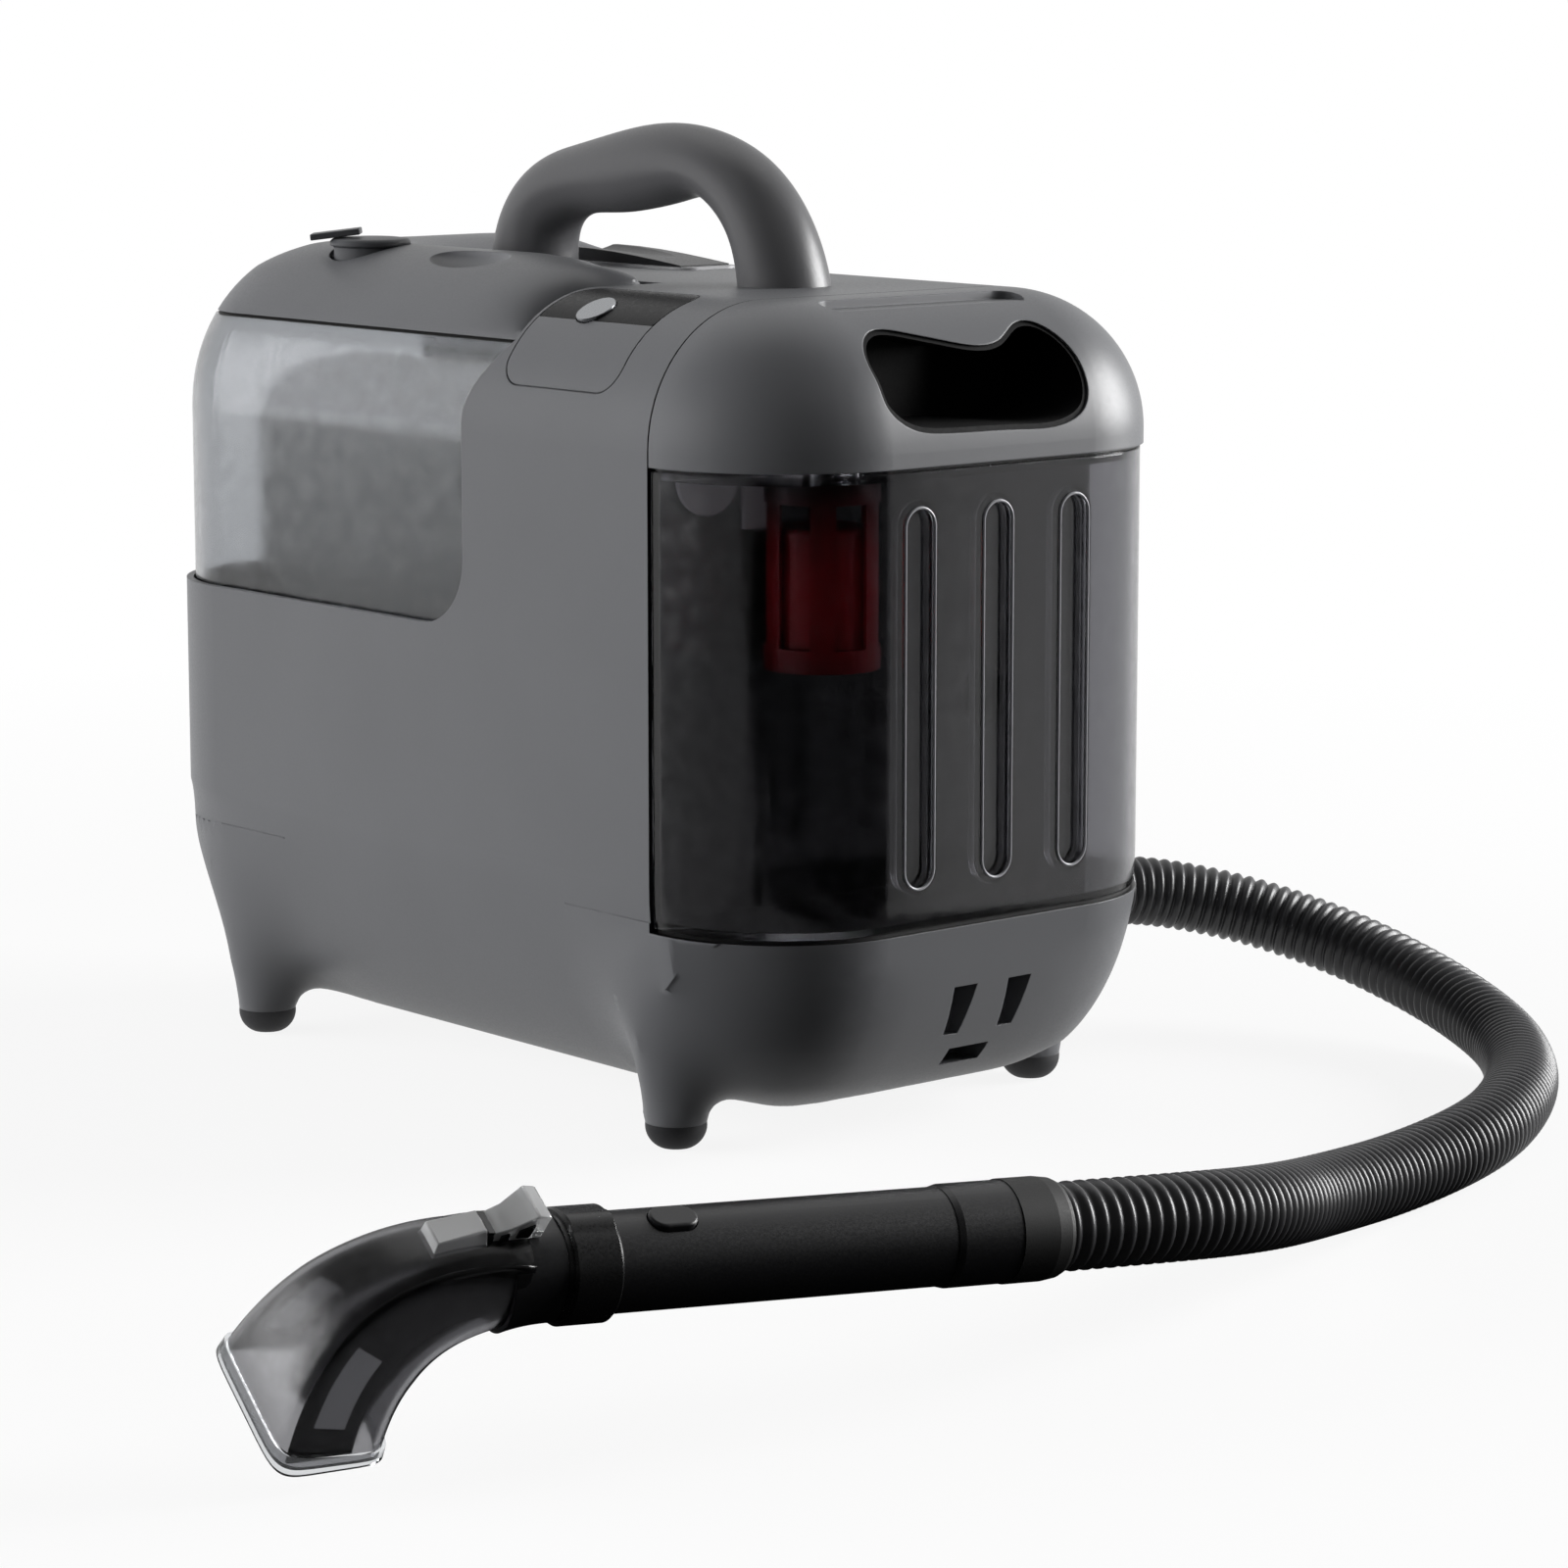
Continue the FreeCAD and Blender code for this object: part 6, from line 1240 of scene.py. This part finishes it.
def floor_finish():
    """A pale floor that fades to plain white away from the object and keeps its shadow near it."""
    material = bpy.data.materials.new("floor_pale")
    material.use_nodes = True
    tree = material.node_tree
    tree.nodes.clear()
    place = add(tree, "ShaderNodeTexCoord").outputs["Object"]
    far = add(tree, "ShaderNodeVectorMath", {0: place}, operation="LENGTH")
    fade = add(tree, "ShaderNodeMapRange", {
        "Value": far.outputs["Value"], "From Min": 0.45, "From Max": 1.1, "To Min": 0.88, "To Max": 1.0})
    white = add(tree, "ShaderNodeEmission", {"Color": (1.0, 1.0, 1.0, 1.0), "Strength": 1.0})
    lit = add(tree, "ShaderNodeBsdfDiffuse", {"Color": linear("f4f4f4")})
    seen = add(tree, "ShaderNodeMixShader", {0: fade.outputs[0], 1: lit.outputs[0], 2: white.outputs[0]})
    path = add(tree, "ShaderNodeLightPath")
    # Through clear plastic the floor is white behind the object and dark in front of it.
    depth = add(tree, "ShaderNodeVectorMath", {0: place, 1: (-0.2, 0.98, 0.0)}, operation="DOT_PRODUCT")
    past = add(tree, "ShaderNodeMapRange", {
        "Value": depth.outputs["Value"], "From Min": -0.42, "From Max": -0.34, "To Min": 0.0, "To Max": 1.0})
    through = add(tree, "ShaderNodeMath", {0: path.outputs["Is Transmission Ray"], 1: past.outputs[0]},
                  operation="MULTIPLY")
    either = add(tree, "ShaderNodeMath", {0: path.outputs["Is Camera Ray"], 1: through.outputs[0]},
                 operation="MAXIMUM")
    # Mirrored, the floor is white to the right of a slanted line and dark to its left.
    slant = add(tree, "ShaderNodeVectorMath", {0: place, 1: (1.0, 0.9, 0.0)}, operation="DOT_PRODUCT")
    side = add(tree, "ShaderNodeMapRange", {
        "Value": slant.outputs["Value"], "From Min": -0.26, "From Max": -0.19, "To Min": 0.0, "To Max": 0.8})
    glossy = add(tree, "ShaderNodeMath", {0: path.outputs["Is Glossy Ray"], 1: side.outputs[0]},
                 operation="MULTIPLY")
    share = add(tree, "ShaderNodeMath", {0: either.outputs[0], 1: glossy.outputs[0]}, operation="MAXIMUM")
    dim = add(tree, "ShaderNodeBsdfDiffuse", {"Color": linear("4c4c4c")})
    # To the left of the object a grey card is mirrored, and in front of it nothing.
    card = add(tree, "ShaderNodeVectorMath", {0: place, 1: (-0.556, 0.83, 0.0)}, operation="DOT_PRODUCT")
    grey = add(tree, "ShaderNodeMapRange", {
        "Value": card.outputs["Value"], "From Min": 0.09, "From Max": 0.11, "To Min": 0.002, "To Max": 0.1})
    gloom = add(tree, "ShaderNodeEmission", {"Color": (1.0, 1.0, 1.0, 1.0), "Strength": grey.outputs[0]})
    mirrored = add(tree, "ShaderNodeMath", {0: path.outputs["Is Glossy Ray"],
                                            1: path.outputs["Is Transmission Ray"]}, operation="MAXIMUM")
    plain = add(tree, "ShaderNodeMixShader", {0: mirrored.outputs[0], 1: dim.outputs[0], 2: gloom.outputs[0]})
    mixed = add(tree, "ShaderNodeMixShader", {0: share.outputs[0], 1: plain.outputs[0], 2: seen.outputs[0]})
    out = add(tree, "ShaderNodeOutputMaterial")
    tree.links.new(mixed.outputs[0], out.inputs["Surface"])
    return material


class EXTRACTOR_OT_stage(bpy.types.Operator):
    """Set up the floor, the backdrop and the lights"""

    bl_idname = "extractor.stage"
    bl_label = "Stage"

    def execute(self, context):
        power = settings().lights
        work = bmesh.new()
        bmesh.ops.create_circle(work, cap_ends=True, radius=80.0, segments=96,
                                matrix=Matrix.Translation((0.0, 0.0, -0.0005)))
        floor = piece_of("floor", work, floor_finish())
        left = area_light("softbox_left", power.left, (-2.6, 1.8, 0.55), (0.0, 0.0, 0.15), 3.2, 2.4)
        left.visible_glossy = False
        area_light("softbox_right", power.right, (2.4, -1.25, 0.9), (0.0, 0.0, 0.15), 1.6, 1.4)
        area_light("softbox_top", power.top, (0.6, 0.6, 2.6), (0.0, 0.0, 0.2), 2.0, 2.0)
        area_light("softbox_lid", power.lid, (-0.1, -0.6, 0.9), (0.0, -0.15, 0.25), 0.6, 0.6)
        world = bpy.data.worlds.new("studio")
        context.scene.world = world
        world.use_nodes = True
        tree = world.node_tree
        tree.nodes.clear()
        path = add(tree, "ShaderNodeLightPath")
        either = add(tree, "ShaderNodeMath", {0: path.outputs["Is Glossy Ray"],
                                              1: path.outputs["Is Transmission Ray"]}, operation="MAXIMUM")
        # The backdrop is mirrored, and seen through clear plastic, only behind the object.
        way = add(tree, "ShaderNodeTexCoord").outputs["Generated"]
        behind = add(tree, "ShaderNodeVectorMath", {0: way, 1: (0.74, 0.67, 0.0)}, operation="DOT_PRODUCT")
        fade = add(tree, "ShaderNodeMapRange", {
            "Value": behind.outputs["Value"], "From Min": -0.05, "From Max": 0.3, "To Min": 0.0, "To Max": 0.7})
        mirrored = add(tree, "ShaderNodeMath", {0: either.outputs[0], 1: fade.outputs[0]}, operation="MULTIPLY")
        share = add(tree, "ShaderNodeMath", {0: path.outputs["Is Camera Ray"], 1: mirrored.outputs[0]},
                    operation="MAXIMUM")
        room = add(tree, "ShaderNodeBackground", {"Color": (1, 1, 1, 1), "Strength": power.room})
        white = add(tree, "ShaderNodeBackground", {"Color": (1, 1, 1, 1), "Strength": 1.0})
        mixed = add(tree, "ShaderNodeMixShader", {0: share.outputs[0], 1: room.outputs[0], 2: white.outputs[0]})
        out = add(tree, "ShaderNodeOutputWorld")
        tree.links.new(mixed.outputs[0], out.inputs["Surface"])
        context.scene.view_settings.view_transform = "Standard"
        return {"FINISHED"}


class EXTRACTOR_PT_panel(bpy.types.Panel):
    """Lists the steps that build the extractor"""

    bl_idname = "EXTRACTOR_PT_panel"
    bl_label = "Spot extractor"
    bl_space_type = "VIEW_3D"
    bl_region_type = "UI"
    bl_category = "Extractor"

    def draw(self, context):
        for step in STEPS:
            self.layout.operator(step.bl_idname)


GROUPS = [CameraSettings, HoseSettings, FastenerSettings, CasingSettings, TankSettings, LightSettings,
          ExtractorSettings]
STEPS = [EXTRACTOR_OT_camera, EXTRACTOR_OT_hose, EXTRACTOR_OT_fasteners, EXTRACTOR_OT_casing,
         EXTRACTOR_OT_nozzle, EXTRACTOR_OT_handle, EXTRACTOR_OT_plug, EXTRACTOR_OT_tanks, EXTRACTOR_OT_springs,
         EXTRACTOR_OT_finishes, EXTRACTOR_OT_stage]


def register():
    """Registers the settings, the steps and the panel."""
    for kind in [*GROUPS, *STEPS, EXTRACTOR_PT_panel]:
        bpy.utils.register_class(kind)
    bpy.types.Scene.extractor = PointerProperty(type=ExtractorSettings)


def unregister():
    """Takes them away again."""
    del bpy.types.Scene.extractor
    for kind in reversed([*GROUPS, *STEPS, EXTRACTOR_PT_panel]):
        bpy.utils.unregister_class(kind)


def main():
    """Builds the extractor step by step."""
    register()
    bpy.ops.extractor.camera()
    bpy.ops.extractor.hose()
    bpy.ops.extractor.fasteners()
    bpy.ops.extractor.casing()
    bpy.ops.extractor.nozzle()
    bpy.ops.extractor.handle()
    bpy.ops.extractor.plug()
    bpy.ops.extractor.tanks()
    bpy.ops.extractor.springs()
    bpy.ops.extractor.finishes()
    bpy.ops.extractor.stage()


if __name__ == "__main__":
    main()
